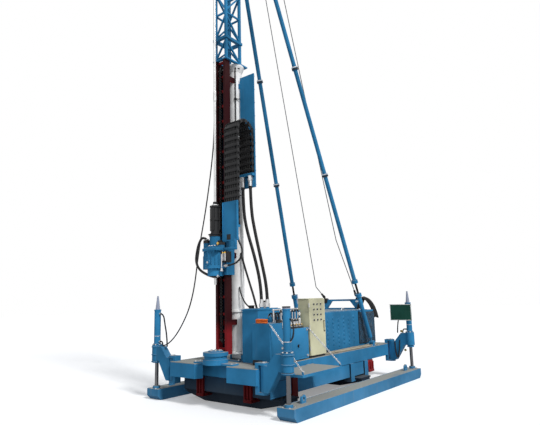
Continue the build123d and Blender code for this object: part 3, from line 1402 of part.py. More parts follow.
def platform_chains():
    """Chains that hold the platform level, from the power pack to its outer edge."""
    chains = []
    for station, height in zip(CHAIN_STATIONS, CHAIN_ANCHOR_Z):
        y = station + CHAIN_ANCHOR_HALF / 2
        top = Vector(PACK_X[1] + CHAIN_ANCHOR_OUT, y, height)
        end = Vector(PLATFORM_X[1] - PLATFORM_RIB / 2, y, PLATFORM_TOP + CHAIN_LUG_HEIGHT)
        along = (end - top).normalized()
        half = CHAIN_BAR / 2
        start = top + along * ((SEAT - half * along.Z) / along.X)
        stop = end + along * ((SEAT + half * along.X) / along.Z)
        chains.append(square_bar(start, stop, CHAIN_BAR))
    return apart(chains)


def cord(points, radius):
    """Tube along straight runs joined by arcs as large as the runs allow."""
    corners = [Vector(*point) for point in points]
    radii = []
    for before, corner, after in zip(corners, corners[1:], corners[2:]):
        turn = math.radians((corner - before).get_angle(after - corner))
        shorter = min((corner - before).length, (after - corner).length)
        radii.append(CORD_ARC_SHARE * shorter / math.tan(turn / 2))
    path = FilletPolyline(*corners, radius=radii)
    start = Plane(origin=corners[0], z_dir=corners[1] - corners[0])
    return sweep(start * Circle(radius), path=path)


def nodes():
    """Every piece of the machine under its node's name."""
    right_stay = stay_tube()
    right_screw = stay_screw()
    right_pontoon = pontoon()
    right_rods = jack_rods()
    pieces = {
        "deck_frame": deck_frame(),
        "deck_plate": deck_plate(),
        "sub_frame": sub_frame(),
        "front_claws": front_claws(),
        "rear_claws": rear_claws(),
        "front_boat": boat(FRONT_BOAT_STATION),
        "rear_boat": boat(REAR_BOAT_STATION),
        "right_pontoon": right_pontoon,
        "left_pontoon": other_side(right_pontoon),
        "right_jack_rods": right_rods,
        "left_jack_rods": other_side(right_rods),
        "jack_barrels": jack_barrels(),
        "jack_tips": jack_tips(),
        "outrigger_arms": outrigger_arms(),
        "arm_pins": arm_pins(),
        "mast_foot": mast_foot(),
        "mast_column": mast_column(),
        "mast_rails": mast_rails(),
        "feed_chain": feed_chain(),
        "mast_adapter": lattice_section(
            COLUMN_TOP, ADAPTER_HEIGHT, 1, COLUMN_STATION + COLUMN_FLANGE_R - LATTICE_LIP
        ),
        "crown_block": crown_block(),
        "crown_sheave": crown_sheave(),
        "right_stay": right_stay,
        "left_stay": other_side(right_stay),
        "right_stay_screw": right_screw,
        "left_stay_screw": other_side(right_screw),
        "stay_lugs": stay_lugs(),
        "stay_feet": stay_feet(),
        "head_carriage": head_carriage(),
        "gearbox": gearbox(),
        "drive_motors": drive_motors(),
        "chuck": chuck(),
        "drill_rod": drill_rod(),
        "chain_bracket": chain_bracket(),
        "drag_chain_moving": drag_strand(DRAG_FRONT, DRAG_MOVING_END, DRAG_BEND_Z),
        "drag_chain_loop": drag_loop(),
        "drag_chain_fixed": drag_strand(DRAG_REAR_FRONT, DRAG_FIXED_END, DRAG_BEND_Z),
        "chain_trough": chain_trough(),
        "rod_vise": rod_vise(),
        "power_pack": power_pack(),
        "oil_tank": oil_tank(),
        "valve_bank": valve_bank(),
        "pump_motor": pump_motor(),
        "cabinet_shell": cabinet_shell(),
        "cabinet_door": cabinet_door(),
        "cabinet_buttons": cabinet_buttons(),
        "rear_housing": rear_housing(),
        "grilles": grilles(),
        "mast_rest": mast_rest(),
        "sign_plate": sign_plate(),
        "platform": platform(),
        "platform_chains": platform_chains(),
        "hose_front": cord(HOSE_ROUTES[0], HOSE_R),
        "hose_rear": cord(HOSE_ROUTES[1], HOSE_R),
        "mast_cable": cord(CABLE_ROUTE, CABLE_R),
        "head_hose": cord(HEAD_HOSE_ROUTE, HEAD_HOSE_R),
    }
    for index, name in enumerate(("lattice_lower", "lattice_middle", "lattice_upper")):
        bottom = LATTICE_BASE + index * LATTICE_SECTION
        pieces[name] = lattice_section(bottom, LATTICE_SECTION, LATTICE_BAYS)
    return pieces


def main():
    os.makedirs("parts", exist_ok=True)
    to_origin = Pos(0, -ORIGIN_STATION, 0)
    for name, shape in nodes().items():
        export_step(to_origin * shape, f"parts/{name}.step")


main()
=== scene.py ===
"""Walking jet grouting rig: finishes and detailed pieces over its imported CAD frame."""

import json
import math

import bmesh
import bpy
from bpy.props import FloatProperty, FloatVectorProperty, IntProperty, PointerProperty
from mathutils import Matrix, Vector


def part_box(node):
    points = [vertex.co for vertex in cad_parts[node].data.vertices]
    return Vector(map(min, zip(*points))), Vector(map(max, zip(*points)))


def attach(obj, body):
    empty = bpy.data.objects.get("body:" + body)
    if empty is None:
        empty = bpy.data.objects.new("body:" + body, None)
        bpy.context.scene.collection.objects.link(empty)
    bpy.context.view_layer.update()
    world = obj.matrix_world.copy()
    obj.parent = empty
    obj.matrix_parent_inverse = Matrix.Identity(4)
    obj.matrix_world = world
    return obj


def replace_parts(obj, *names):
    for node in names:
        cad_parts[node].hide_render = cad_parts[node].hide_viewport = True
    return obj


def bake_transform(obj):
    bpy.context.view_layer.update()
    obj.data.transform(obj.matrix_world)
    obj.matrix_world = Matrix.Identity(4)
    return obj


bl_info = {
    "name": "Jet grouting rig",
    "version": (1, 0, 0),
    "blender": (4, 5, 0),
    "location": "View3D > Sidebar > Rig",
    "description": "Finishes and detailed pieces of a walking jet grouting rig",
    "category": "Object",
}

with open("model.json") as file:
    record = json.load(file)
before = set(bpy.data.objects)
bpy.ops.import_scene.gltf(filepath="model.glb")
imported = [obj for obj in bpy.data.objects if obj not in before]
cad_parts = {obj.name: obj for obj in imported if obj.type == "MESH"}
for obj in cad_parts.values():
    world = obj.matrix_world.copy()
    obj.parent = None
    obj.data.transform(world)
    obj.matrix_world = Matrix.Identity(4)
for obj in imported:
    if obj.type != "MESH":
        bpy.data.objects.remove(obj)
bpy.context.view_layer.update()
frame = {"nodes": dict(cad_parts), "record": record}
NODES = frame["nodes"]

# The front ends of the pontoons, from which stations run back
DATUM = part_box("right_pontoon")[0].y


def at(x, station, z):
    """A place in metres, from millimetres across, back from the pontoons' front ends, and up."""
    return Vector((x / 1000, DATUM + station / 1000, z / 1000))


# Places on the rig that several pieces share, in millimetres
SPINDLE = 100
COLUMN_STATION = 630
JACK_X = 1450
JACK_STATIONS = (85, 4465)
STAY_TOP = (178, 715, 9970)
STAY_FOOT = (895, 3790, 750)
REST_STATION = 4150

# The drag chain: its sides, its depth, each run's front, foot and top, and its bend's axis
DRAG_X = (170, 474)
DRAG_DEPTH = 55
DRAG_MOVING = (145, 2900, 4547)
DRAG_FIXED = (530, 3850, 4547)
DRAG_BEND = (365, 4547)

# Share of a stay's length at which the screw's bare thread ends
STAY_SCREW_END = 0.891

# Half the gap between the mast's rails, and the height up to which they stay bright red as painted sunlight,
# in metres
RAIL_INNER = 0.0795
RAIL_SUNLIT_TOP = 1.35

# Finishes that many pieces share
BLUE = "blue_paint"
NAVY = "navy_paint"
RED = "red_paint"
# Red darkened as painted shade, for the front claws under the deck
SHADED_RED = "oily_red"
CREAM = "cream_paint"
BRIGHT = "bright_steel"
BLACK = "black_steel"
PLASTIC = "black_plastic"
RUBBER = "black_rubber"
BRASS = "brass"
WHITE = "dial_white"

# Routes of the cords, from where each leaves the mast or the head to its far end
ROUTES = {
    "hose_front": (
        (230, 557, 3799.7),
        (230, 557, 3250),
        (285, 575, 2870),
        (420, 610, 2420),
        (491.4, 690, 1900),
        (491.4, 690, 1590),
    ),
    "hose_rear": (
        (400, 557, 3799.7),
        (400, 557, 3230),
        (465, 590, 2790),
        (535, 660, 2300),
        (552.6, 770, 1860),
        (552.6, 770, 1590),
    ),
    "mast_cable": (
        (-205, 295, 5299.7),
        (-205, 295, 4650),
        (-280, 280, 3950),
        (-395, 250, 3200),
        (-515, 220, 2610),
        (-616, 170, 1700),
        (-883, 120, 1190),
        (-1170, 85, 921),
        (-1289.7, 85, 921),
    ),
    "head_hose": (
        (430, 172.5, 2859.7),
        (430, 172.5, 2680),
        (545, 172.5, 2500),
        (520, 160, 2340),
        (400, 100, 2240),
        (215.3, 100, 2240),
    ),
}


def in_metres(points):
    """Places in metres of points in millimetres."""
    return [at(*point) for point in points]


def colour(label, description, default):
    """A colour property."""
    return FloatVectorProperty(
        name=label, description=description, subtype="COLOR", size=3, min=0, max=1, default=default
    )


def length(label, description, default):
    """A length property, in metres."""
    return FloatProperty(name=label, description=description, unit="LENGTH", min=0, default=default)


class RigColours(bpy.types.PropertyGroup):
    """Colours of the rig's paints and materials."""

    blue: colour("Blue paint", "Paint of the steelwork", (0.030, 0.190, 0.375))
    # Navy is also the tint of the painted shade on front faces.
    navy: colour("Navy paint", "Paint of the walking boats", (0.008, 0.018, 0.036))
    red: colour("Red paint", "Paint of the rails and claws", (0.25, 0.017, 0.020))
    white: colour("White paint", "Paint of the mast column", (0.84, 0.83, 0.79))
    cream: colour("Cream paint", "Paint of the control cabinet", (0.56, 0.545, 0.37))
    green: colour("Green paint", "Paint of the sign", (0.020, 0.085, 0.060))
    dust: colour("Dust", "Dry grout dust on level faces", (0.31, 0.315, 0.29))
    rust: colour("Rust", "Bare rusty steel in chips", (0.13, 0.06, 0.03))
    tip: colour("Jack tips", "Pale sleeves on the jacks", (0.30, 0.33, 0.42))
    orange: colour("Orange", "Webbing of the lifting sling", (0.75, 0.16, 0.03))
    brass: colour("Brass", "Brass fittings", (0.62, 0.40, 0.10))
    rope: colour("Pale hose", "Dusty service hoses on the deck", (0.40, 0.35, 0.26))


class RigSizes(bpy.types.PropertyGroup):
    """Sizes of the rig's repeated small parts."""

    bolt_across: length("Bolt size", "Width of a bolt head across its corners", 0.030)
    bolt_height: length("Bolt height", "Height of a bolt head", 0.014)
    chain_wire: length("Chain wire", "Wire thickness of the platform chains", 0.008)
    chain_pitch: length("Chain pitch", "Distance between the links of the platform chains", 0.030)
    roller_pitch: length("Roller pitch", "Distance between the rollers of the feed chain", 0.0508)
    rope_radius: length("Rope radius", "Radius of the mast's guy ropes", 0.009)
    dimple_rows: IntProperty(name="Dimple rows", description="Pressings in each column", default=7, min=1)


class Value:
    """A node's output; an expression on it adds Math nodes."""

    def __init__(self, graph, socket):
        self.graph = graph
        self.socket = socket

    def math(self, operation, first, second):
        return self.graph.add("ShaderNodeMath", {"operation": operation}, {0: first, 1: second})

    def __add__(self, other):
        return self.math("ADD", self, other)

    def __sub__(self, other):
        return self.math("SUBTRACT", self, other)

    def __rsub__(self, other):
        return self.math("SUBTRACT", other, self)

    def __mul__(self, other):
        return self.math("MULTIPLY", self, other)

    def clamp(self):
        return self.graph.add("ShaderNodeClamp", {}, {"Value": self})


class Graph:
    """A node tree that is being built."""

    def __init__(self, tree):
        self.tree = tree

    def add(self, kind, settings=None, sockets=None, output=0):
        """Adds a node of a type, its settings first, then its sockets' values or links."""
        node = self.tree.nodes.new(kind)
        for name, value in (settings or {}).items():
            setattr(node, name, value)
        for key, value in (sockets or {}).items():
            self.feed(node.inputs[key], value)
        return Value(self, node.outputs[output]) if node.outputs else node

    def feed(self, socket, value):
        """Links a Value to a socket, or sets the socket to a plain value."""
        if isinstance(value, Value):
            self.tree.links.new(value.socket, socket)
        else:
            socket.default_value = value

    def tint(self, share, first, second):
        """Mixes two colours by a share."""
        sockets = {0: share, 6: first, 7: second}
        return self.add("ShaderNodeMix", {"data_type": "RGBA"}, sockets, output=2)

    def where(self, kind="Object"):
        """A point's place in its object, or with Normal the way that it faces."""
        return self.add("ShaderNodeTexCoord", output=kind)

    def part(self, vector, axis):
        """One part of a vector."""
        return self.add("ShaderNodeSeparateXYZ", {}, {0: vector}, output=axis)

    def noise(self, place, scale, detail):
        """A noise between 0 and 1."""
        sockets = {"Vector": place, "Scale": scale, "Detail": detail}
        return self.add("ShaderNodeTexNoise", {}, sockets, output="Fac")


def opaque(rgb, gain=1.0):
    """A colour with its alpha, brightened or darkened."""
    return (*(min(1.0, part * gain) for part in rgb), 1.0)


def new_material(name):
    """A material with its shader, and the graph that feeds it; a packed one of its name steps aside."""
    packed = bpy.data.materials.get(name)
    if packed:
        packed.name = name + "_packed"
    material = bpy.data.materials.new(name)
    material.use_nodes = True
    shader = material.node_tree.nodes["Principled BSDF"]
    return material, shader, Graph(material.node_tree)


def roughen(graph, shader, height, strength, distance):
    """Small relief on a surface."""
    sockets = {"Strength": strength, "Distance": distance, "Height": height}
    graph.feed(shader.inputs["Normal"], graph.add("ShaderNodeBump", {}, sockets))


def painted(name, rgb, dust=0.5, rust=0.5, mud=0.0, roughness=0.5, front_shade=0.0):
    """Shop paint faded in patches, with dust, run-down streaks, mud, chips and painted shade on front faces.
    """
    tints = bpy.context.scene.rig_colours
    material, shader, graph = new_material(name)
    place = graph.where()
    normal = graph.where("Normal")
    height = graph.part(place, "Z")
    up = graph.part(normal, "Z")
    forward = 0 - graph.part(normal, "Y")
    cloud = graph.noise(place, 1.7, 4)
    grain = graph.noise(place, 31.0, 5)
    long = graph.add("ShaderNodeVectorMath", {"operation": "MULTIPLY"}, {0: place, 1: (11, 11, 0.8)})
    streak = graph.noise(long, 1.0, 4)
    patch = ((cloud - 0.5) * 2.6 + 0.5).clamp()
    faded_and_shaded = graph.tint(patch, opaque(rgb, 0.74), opaque(rgb, 1.28))
    # Painted shade: faces that look to the front are tinted towards navy.
    shade_share = ((forward - 0.5) * 4).clamp() * front_shade
    faded_and_shaded = graph.tint(shade_share, faded_and_shaded, opaque(tints.navy))
    settled = ((up - 0.6) * 4).clamp() * (cloud * 2.6 - 0.45).clamp() * dust
    runs = ((streak - 0.60) * 4).clamp() * (0.30 * dust)
    splash = ((0.42 - height) * 2.6).clamp() * (cloud * 2 - 0.35).clamp() * mud
    dirt = (settled + runs * 0.5 + splash).clamp()
    chip = ((grain - 0.70) * 18).clamp() * ((cloud - 0.42) * 5).clamp() * rust
    dusty = graph.tint(dirt, faded_and_shaded, opaque(tints.dust))
    graph.feed(shader.inputs["Base Color"], graph.tint(chip, dusty, opaque(tints.rust)))
    matt = dirt * 0.4 + chip * 0.3 + grain * 0.12 + roughness - 0.06
    graph.feed(shader.inputs["Roughness"], matt.clamp())
    roughen(graph, shader, grain - chip * 0.5, 0.10, 0.002)
    shader.inputs["Specular IOR Level"].default_value = 0.06
    return material


def metal(name, rgb, roughness, worn=0.25, metallic=1.0, gloss=0.5):
    """Bare or blackened metal with smears and fine scratches."""
    material, shader, graph = new_material(name)
    place = graph.where()
    smear = graph.noise(place, 6.0, 4)
    long = graph.add("ShaderNodeVectorMath", {"operation": "MULTIPLY"}, {0: place, 1: (160, 160, 14)})
    scratch = graph.noise(long, 1.0, 2)
    graph.feed(shader.inputs["Base Color"], graph.tint(smear, opaque(rgb, 1 - worn), opaque(rgb, 1 + worn)))
    graph.feed(shader.inputs["Roughness"], (smear * 0.18 + scratch * 0.16 + roughness - 0.15).clamp())
    roughen(graph, shader, scratch, 0.05, 0.001)
    shader.inputs["Metallic"].default_value = metallic
    shader.inputs["Specular IOR Level"].default_value = gloss
    return material


def rubber(name, rgb, roughness, ribs=0.0):
    """Rubber or plastic with grey scuffs, and ribs across what hangs upright."""
    tints = bpy.context.scene.rig_colours
    material, shader, graph = new_material(name)
    place = graph.where()
    scuff = graph.noise(place, 22.0, 4)
    patch = ((scuff - 0.56) * 5).clamp() * 0.12
    shader.inputs["Specular IOR Level"].default_value = 0.25
    graph.feed(shader.inputs["Base Color"], graph.tint(patch, opaque(rgb), opaque(tints.dust, 0.6)))
    graph.feed(shader.inputs["Roughness"], (scuff * 0.25 + roughness - 0.12).clamp())
    sockets = {"Vector": place, "Scale": 14.0}
    wave = graph.add("ShaderNodeTexWave", {"bands_direction": "Z"}, sockets, output="Fac")
    roughen(graph, shader, wave * ribs + scuff * 0.3, 0.35, 0.004)
    return material


def reopened(material):
    """A material's graph and shader, and a place's parts by axis, alike on both sides of the rig."""
    graph = Graph(material.node_tree)
    place = graph.where()
    parts = {axis: graph.part(place, axis) for axis in "XYZ"}
    parts["X"] = graph.add("ShaderNodeMath", {"operation": "ABSOLUTE"}, {0: parts["X"]})
    return graph, material.node_tree.nodes["Principled BSDF"], parts


def cover(graph, shader, share, rgb):
    """Lays a colour over a shader's paint, by a share from 0 to 1."""
    socket = shader.inputs["Base Color"]
    paint = Value(graph, socket.links[0].from_socket)
    graph.feed(socket, graph.tint(share, paint, opaque(rgb)))


def stay_screw_paint(name, rgb):
    """Blue paint on a stay's lower length, and the dark oiled thread above its collar."""
    material = painted(name, rgb, dust=0.4, rust=0.7)
    graph, shader, parts = reopened(material)
    top = at(*STAY_TOP)
    foot = at(*STAY_FOOT)
    axis = (foot - top).normalized()
    reach = parts["X"] * axis.x + parts["Y"] * axis.y + parts["Z"] * axis.z
    end = top.dot(axis) + (foot - top).length * STAY_SCREW_END
    bare = ((end - reach) * 400).clamp()
    cover(graph, shader, bare, (0.02, 0.02, 0.022))
    thread = graph.add("ShaderNodeMath", {"operation": "SINE"}, {0: reach * 420})
    roughen(graph, shader, thread * bare, 0.8, 0.004)
    return material


def rail_paint(name, rgb):
    """Red rungs between rails darkened to greasy steel and painted shade, less so near the foot as painted
    sunlight.
    """
    material = painted(name, rgb, dust=0.2, rust=0.8)
    graph, shader, parts = reopened(material)
    # Painted sunlight low down, and grease with painted shade on the rails above.
    low = ((RAIL_SUNLIT_TOP - parts["Z"]) * 5).clamp()
    greasy_and_shaded = ((parts["X"] - RAIL_INNER) * 2000).clamp() * (1 - low * 0.8)
    cover(graph, shader, greasy_and_shaded, (0.034, 0.007, 0.008))
    return material


def all_finishes():
    """Makes every material of the rig once, each under its finish's name."""
    tints = bpy.context.scene.rig_colours
    painted(BLUE, tints.blue, dust=0.8, rust=0.6, mud=0.3)
    # Blue with its front faces darkened to navy: painted shade for the sub-frame and rear claws
    painted("oily_blue", tints.blue, dust=0.5, rust=0.6, mud=0.2, front_shade=0.92)
    painted("dusty_blue", tints.blue, dust=1.7, rust=0.7, mud=0.15)
    rail_paint("rail_paint", tints.red)
    # The red at less than half its brightness: painted shade for the front claws
    painted(SHADED_RED, [part * 0.42 for part in tints.red], dust=0.15, rust=0.5)
    painted(NAVY, tints.navy, dust=0.2, rust=0.5, mud=0.1)
    painted(RED, tints.red, dust=0.25, rust=0.8)
    painted("white_paint", tints.white, dust=0.35, rust=0.25, roughness=0.38)
    painted(CREAM, tints.cream, dust=0.3, rust=0.15, roughness=0.36)
    painted("green_paint", tints.green, dust=0.2, rust=0.15, roughness=0.3)
    painted("dusty_plate", tints.dust, dust=0.9, rust=0.8, roughness=0.75)
    painted("pale_hose", tints.rope, dust=0.5, rust=0.0, roughness=0.7)
    painted("orange_webbing", tints.orange, dust=0.2, rust=0.1, roughness=0.65)
    painted("pale_plastic", tints.tip, dust=0.2, rust=0.0, roughness=0.45)
    stay_screw_paint("screw_paint", tints.blue)
    metal("chrome_rod", (0.12, 0.12, 0.125), 0.24)
    metal(BRIGHT, (0.55, 0.55, 0.55), 0.42, metallic=0.8)
    metal(BRASS, tints.brass, 0.34)
    metal(BLACK, (0.014, 0.014, 0.015), 0.5, metallic=0.0, gloss=0.25)
    metal("rope_steel", (0.10, 0.105, 0.115), 0.5, metallic=0.7)
    rubber(PLASTIC, (0.012, 0.012, 0.013), 0.46)
    rubber(RUBBER, (0.010, 0.010, 0.011), 0.44, ribs=0.8)
    rubber(WHITE, (0.75, 0.75, 0.72), 0.3)


def smooth(mesh, degrees=35):
    """Rounds a mesh's shading, apart from its corners."""
    mesh.polygons.foreach_set("use_smooth", [True] * len(mesh.polygons))
    mesh.set_sharp_from_angle(angle=math.radians(degrees))


def route_curve(name, points, cyclic=False, radius=0.0):
    """A smooth curve along a route, as a line or as a tube."""
    data = bpy.data.curves.new(name, "CURVE")
    data.dimensions = "3D"
    data.bevel_depth = radius
    data.bevel_resolution = 3
    data.use_fill_caps = not cyclic
    spline = data.splines.new("NURBS")
    spline.points.add(len(points) - 1)
    for knot, place in zip(spline.points, points):
        knot.co = (*place, 1)
    spline.order_u = 3
    spline.use_cyclic_u = cyclic
    spline.use_endpoint_u = not cyclic
    return data


def plain_mesh(obj):
    """An object's evaluated shape as a plain mesh; the object is removed."""
    bpy.context.scene.collection.objects.link(obj)
    graph = bpy.context.evaluated_depsgraph_get()
    mesh = bpy.data.meshes.new_from_object(obj.evaluated_get(graph), depsgraph=graph)
    bpy.data.objects.remove(obj)
    return mesh


class Builder:
    """Collects the shapes of one piece, each with its own finish."""

    def __init__(self):
        self.bm = bmesh.new()
        self.finishes = []

    def take(self, mesh, finish):
        """Adds a mesh to the piece in one finish, and removes the mesh."""
        if finish not in self.finishes:
            self.finishes.append(finish)
        index = self.finishes.index(finish)
        for polygon in mesh.polygons:
            polygon.material_index = index
        self.bm.from_mesh(mesh)
        bpy.data.meshes.remove(mesh)

    def shape(self, bm, finish):
        """Adds a bmesh shape."""
        mesh = bpy.data.meshes.new("shape")
        bm.to_mesh(mesh)
        bm.free()
        self.take(mesh, finish)

    def block(self, low, high, finish, edge, turn=None):
        """A box between two corners with eased edges, turned about its middle where a turn is given."""
        sides = [abs(b - a) for a, b in zip(low, high)]
        bm = bmesh.new()
        bmesh.ops.create_cube(bm, size=1, matrix=Matrix.Diagonal((*sides, 1)))
        if edge:
            bmesh.ops.bevel(bm, geom=bm.edges[:], offset=edge, segments=2, profile=0.5, affect="EDGES")
        place = Matrix.Translation((Vector(low) + Vector(high)) / 2)
        if turn:
            place = place @ turn.to_4x4()
        bmesh.ops.transform(bm, matrix=place, verts=bm.verts[:])
        self.shape(bm, finish)

    def rod(self, start, end, radius, finish, sides, end_radius=None):
        """A round bar or a cone between two points."""
        start = Vector(start)
        axis = Vector(end) - start
        place = Matrix.Translation(start + axis / 2) @ axis.to_track_quat("Z", "Y").to_matrix().to_4x4()
        bm = bmesh.new()
        bmesh.ops.create_cone(
            bm,
            cap_ends=True,
            segments=sides,
            radius1=radius,
            radius2=radius if end_radius is None else end_radius,
            depth=axis.length,
            matrix=place,
        )
        self.shape(bm, finish)

    def ball(self, centre, radius, finish, stretch=(1, 1, 1)):
        """A round or stretched ball."""
        bm = bmesh.new()
        place = Matrix.Translation(Vector(centre)) @ Matrix.Diagonal((*stretch, 1))
        bmesh.ops.create_uvsphere(bm, u_segments=14, v_segments=9, radius=radius, matrix=place)
        self.shape(bm, finish)

    def hose(self, points, radius, finish, cyclic=False):
        """A round hose along a smooth route."""
        data = route_curve("hose", points, cyclic, radius)
        mesh = plain_mesh(bpy.data.objects.new("hose", data))
        bpy.data.curves.remove(data)
        self.take(mesh, finish)

    def fitting(self, start, end, radius, finish):
        """A hose end: a ferrule and a hexagon nut."""
        start = Vector(start)
        end = Vector(end)
        middle = start.lerp(end, 0.55)
        self.rod(start, middle, radius, finish, 16)
        self.rod(middle, end, radius * 1.35, finish, 6)

    def slabs(self, rows):
        """Boxes from rows of two corners in millimetres, a finish and an edge."""
        for low, high, finish, edge in rows:
            self.block(at(*low), at(*high), finish, edge)

    def bars(self, rows):
        """Round bars from rows of two ends in millimetres, a radius, a finish and a count of sides."""
        for start, end, radius, finish, sides in rows:
            self.rod(at(*start), at(*end), radius, finish, sides)

    def hoses(self, rows):
        """Hoses from rows of a route in millimetres, a radius and a finish."""
        for points, radius, finish in rows:
            self.hose(in_metres(points), radius, finish)

    def fittings(self, rows):
        """Hose ends from rows of two ends in millimetres, a radius and a finish."""
        for start, end, radius, finish in rows:
            self.fitting(at(*start), at(*end), radius, finish)

    def bands(self, rows):
        """Wires round upright axes, from rows of a centre and radius in millimetres, a wire's
        radius, a finish and a count of points."""
        for centre, radius, wire, finish, count in rows:
            self.hose([point for point, turn in ring(centre, radius, count)], wire, finish, cyclic=True)

    def ribs(self, places, half, finish, edge):
        """Boxes of one half size at places that are turned about upright axes."""
        half = Vector(half)
        for point, turn in places:
            self.block(point - half, point + half, finish, edge, Matrix.Rotation(turn[2], 3, "Z"))

    def mesh(self, name):
        """The piece's plain mesh."""
        bmesh.ops.recalc_face_normals(self.bm, faces=self.bm.faces[:])
        mesh = bpy.data.meshes.new(name)
        self.bm.to_mesh(mesh)
        self.bm.free()
        for finish in self.finishes:
            mesh.materials.append(bpy.data.materials[finish])
        smooth(mesh)
        return mesh

    def done(self, name, body=None, slot=None):
        """The finished piece, riding on its body where one is given."""
        return placed(self.mesh(name), name, body)


def placed(mesh, name, body=None):
    """Puts a finished mesh in the scene as a piece."""
    obj = bpy.data.objects.new(name, mesh)
    bpy.context.scene.collection.objects.link(obj)
    if body:
        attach(obj, body)
    return obj


def node_group(name, inputs):
    """An empty geometry tree with named inputs, given as socket types by name, and those inputs."""
    tree = bpy.data.node_groups.new(name, "GeometryNodeTree")
    for label, kind in inputs.items():
        tree.interface.new_socket(label, in_out="INPUT", socket_type="NodeSocket" + kind)
    tree.interface.new_socket("Result", in_out="OUTPUT", socket_type="NodeSocketGeometry")
    graph = Graph(tree)
    return graph, {key: graph.add("NodeGroupInput", output=key) for key in inputs}


def dressed(graph, geometry, finish):
    """Ends a geometry tree: its instances become plain shapes in one finish."""
    solid = graph.add("GeometryNodeRealizeInstances", {}, {"Geometry": geometry})
    result = graph.add("GeometryNodeSetMaterial", {}, {"Geometry": solid, "Material": finish})
    graph.add("NodeGroupOutput", {}, {0: result})
    return graph.tree


def wire_ring(graph, resolution, radius):
    """A round curve in a geometry tree."""
    sockets = {"Resolution": resolution, "Radius": radius}
    return graph.add("GeometryNodeCurvePrimitiveCircle", {}, sockets)


def copies_tree():
    """Copies of a shape on points, each turned by its point's own attribute."""
    inputs = {"Points": "Geometry", "Shape": "Object", "Finish": "Material"}
    graph, inlet = node_group("copies_on_points", inputs)
    shape = graph.add("GeometryNodeObjectInfo", {}, {"Object": inlet["Shape"]}, output="Geometry")
    vector = {"data_type": "FLOAT_VECTOR"}
    turn = graph.add("GeometryNodeInputNamedAttribute", vector, {"Name": "turn"}, output="Attribute")
    spin = graph.add("FunctionNodeEulerToRotation", {}, {0: turn})
    sockets = {"Points": inlet["Points"], "Instance": shape, "Rotation": spin}
    return dressed(graph, graph.add("GeometryNodeInstanceOnPoints", {}, sockets), inlet["Finish"])


def chain_tree():
    """Oval wire links along an edge path, each turned a quarter from its neighbour."""
    inputs = {"Path": "Geometry", "Pitch": "Float", "Wire": "Float", "Finish": "Material"}
    graph, inlet = node_group("links_on_path", inputs)
    line = graph.add("GeometryNodeMeshToCurve", {}, {"Mesh": inlet["Path"]})
    sockets = {"Curve": line, "Length": inlet["Pitch"]}
    spaced = graph.add("GeometryNodeResampleCurve", {"mode": "LENGTH"}, sockets)
    tangent = graph.add("GeometryNodeInputTangent")
    along = graph.add("FunctionNodeAlignRotationToVector", {"axis": "X"}, {"Vector": tangent})
    index = graph.add("GeometryNodeInputIndex")
    quarter = graph.add("ShaderNodeMath", {"operation": "MODULO"}, {0: index, 1: 2.0}) * (math.pi / 2)
    roll = graph.add("ShaderNodeCombineXYZ", {}, {"X": quarter})
    rolled = graph.add("FunctionNodeEulerToRotation", {}, {0: roll})
    sockets = {"Rotation": along, "Rotate By": rolled}
    turned = graph.add("FunctionNodeRotateRotation", {"rotation_space": "LOCAL"}, sockets)
    oval = wire_ring(graph, 12, inlet["Pitch"] * 0.68)
    long = graph.add("GeometryNodeTransform", {}, {"Geometry": oval, "Scale": (1.0, 0.58, 1.0)})
    wire = wire_ring(graph, 6, inlet["Wire"] * 0.5)
    link = graph.add("GeometryNodeCurveToMesh", {}, {"Curve": long, "Profile Curve": wire})
    sockets = {"Points": spaced, "Instance": link, "Rotation": turned}
    return dressed(graph, graph.add("GeometryNodeInstanceOnPoints", {}, sockets), inlet["Finish"])


def tube_tree():
    """A round tube along an edge path."""
    inputs = {"Path": "Geometry", "Radius": "Float", "Finish": "Material"}
    graph, inlet = node_group("tube_on_path", inputs)
    line = graph.add("GeometryNodeMeshToCurve", {}, {"Mesh": inlet["Path"]})
    sockets = {"Curve": line, "Profile Curve": wire_ring(graph, 14, inlet["Radius"]), "Fill Caps": True}
    return dressed(graph, graph.add("GeometryNodeCurveToMesh", {}, sockets), inlet["Finish"])


def grown(tree_maker, seed, settings):
    """The plain mesh that a geometry tree makes of a seed mesh, with its inputs set by name."""
    tree = bpy.data.node_groups.get(tree_maker.__name__) or tree_maker()
    tree.name = tree_maker.__name__
    obj = bpy.data.objects.new("seed", seed)
    modifier = obj.modifiers.new("grow", "NODES")
    modifier.node_group = tree
    for item in tree.interface.items_tree:
        if item.in_out == "INPUT" and item.name in settings:
            modifier[item.identifier] = settings[item.name]
    mesh = plain_mesh(obj)
    bpy.data.meshes.remove(seed)
    smooth(mesh)
    return mesh


def copies(shape, places, finish):
    """Copies of a mesh at places, given as pairs of a point and a turn about X, Y and Z."""
    seed = bpy.data.meshes.new("seed")
    seed.from_pydata([tuple(point) for point, turn in places], [], [])
    turns = seed.attributes.new("turn", "FLOAT_VECTOR", "POINT")
    for spot, (point, turn) in zip(turns.data, places):
        spot.vector = turn
    pattern = bpy.data.objects.new("pattern", shape)
    bpy.context.scene.collection.objects.link(pattern)
    settings = {"Shape": pattern, "Finish": bpy.data.materials[finish]}
    mesh = grown(copies_tree, seed, settings)
    bpy.data.objects.remove(pattern)
    bpy.data.meshes.remove(shape)
    return mesh


def edge_path(points):
    """A mesh of one line of edges."""
    mesh = bpy.data.meshes.new("path")
    mesh.from_pydata([tuple(p) for p in points], [(i, i + 1) for i in range(len(points) - 1)], [])
    return mesh


def facing(direction):
    """The turn that points a shape's own Z along a direction."""
    return tuple(Vector(direction).to_track_quat("Z", "Y").to_euler())


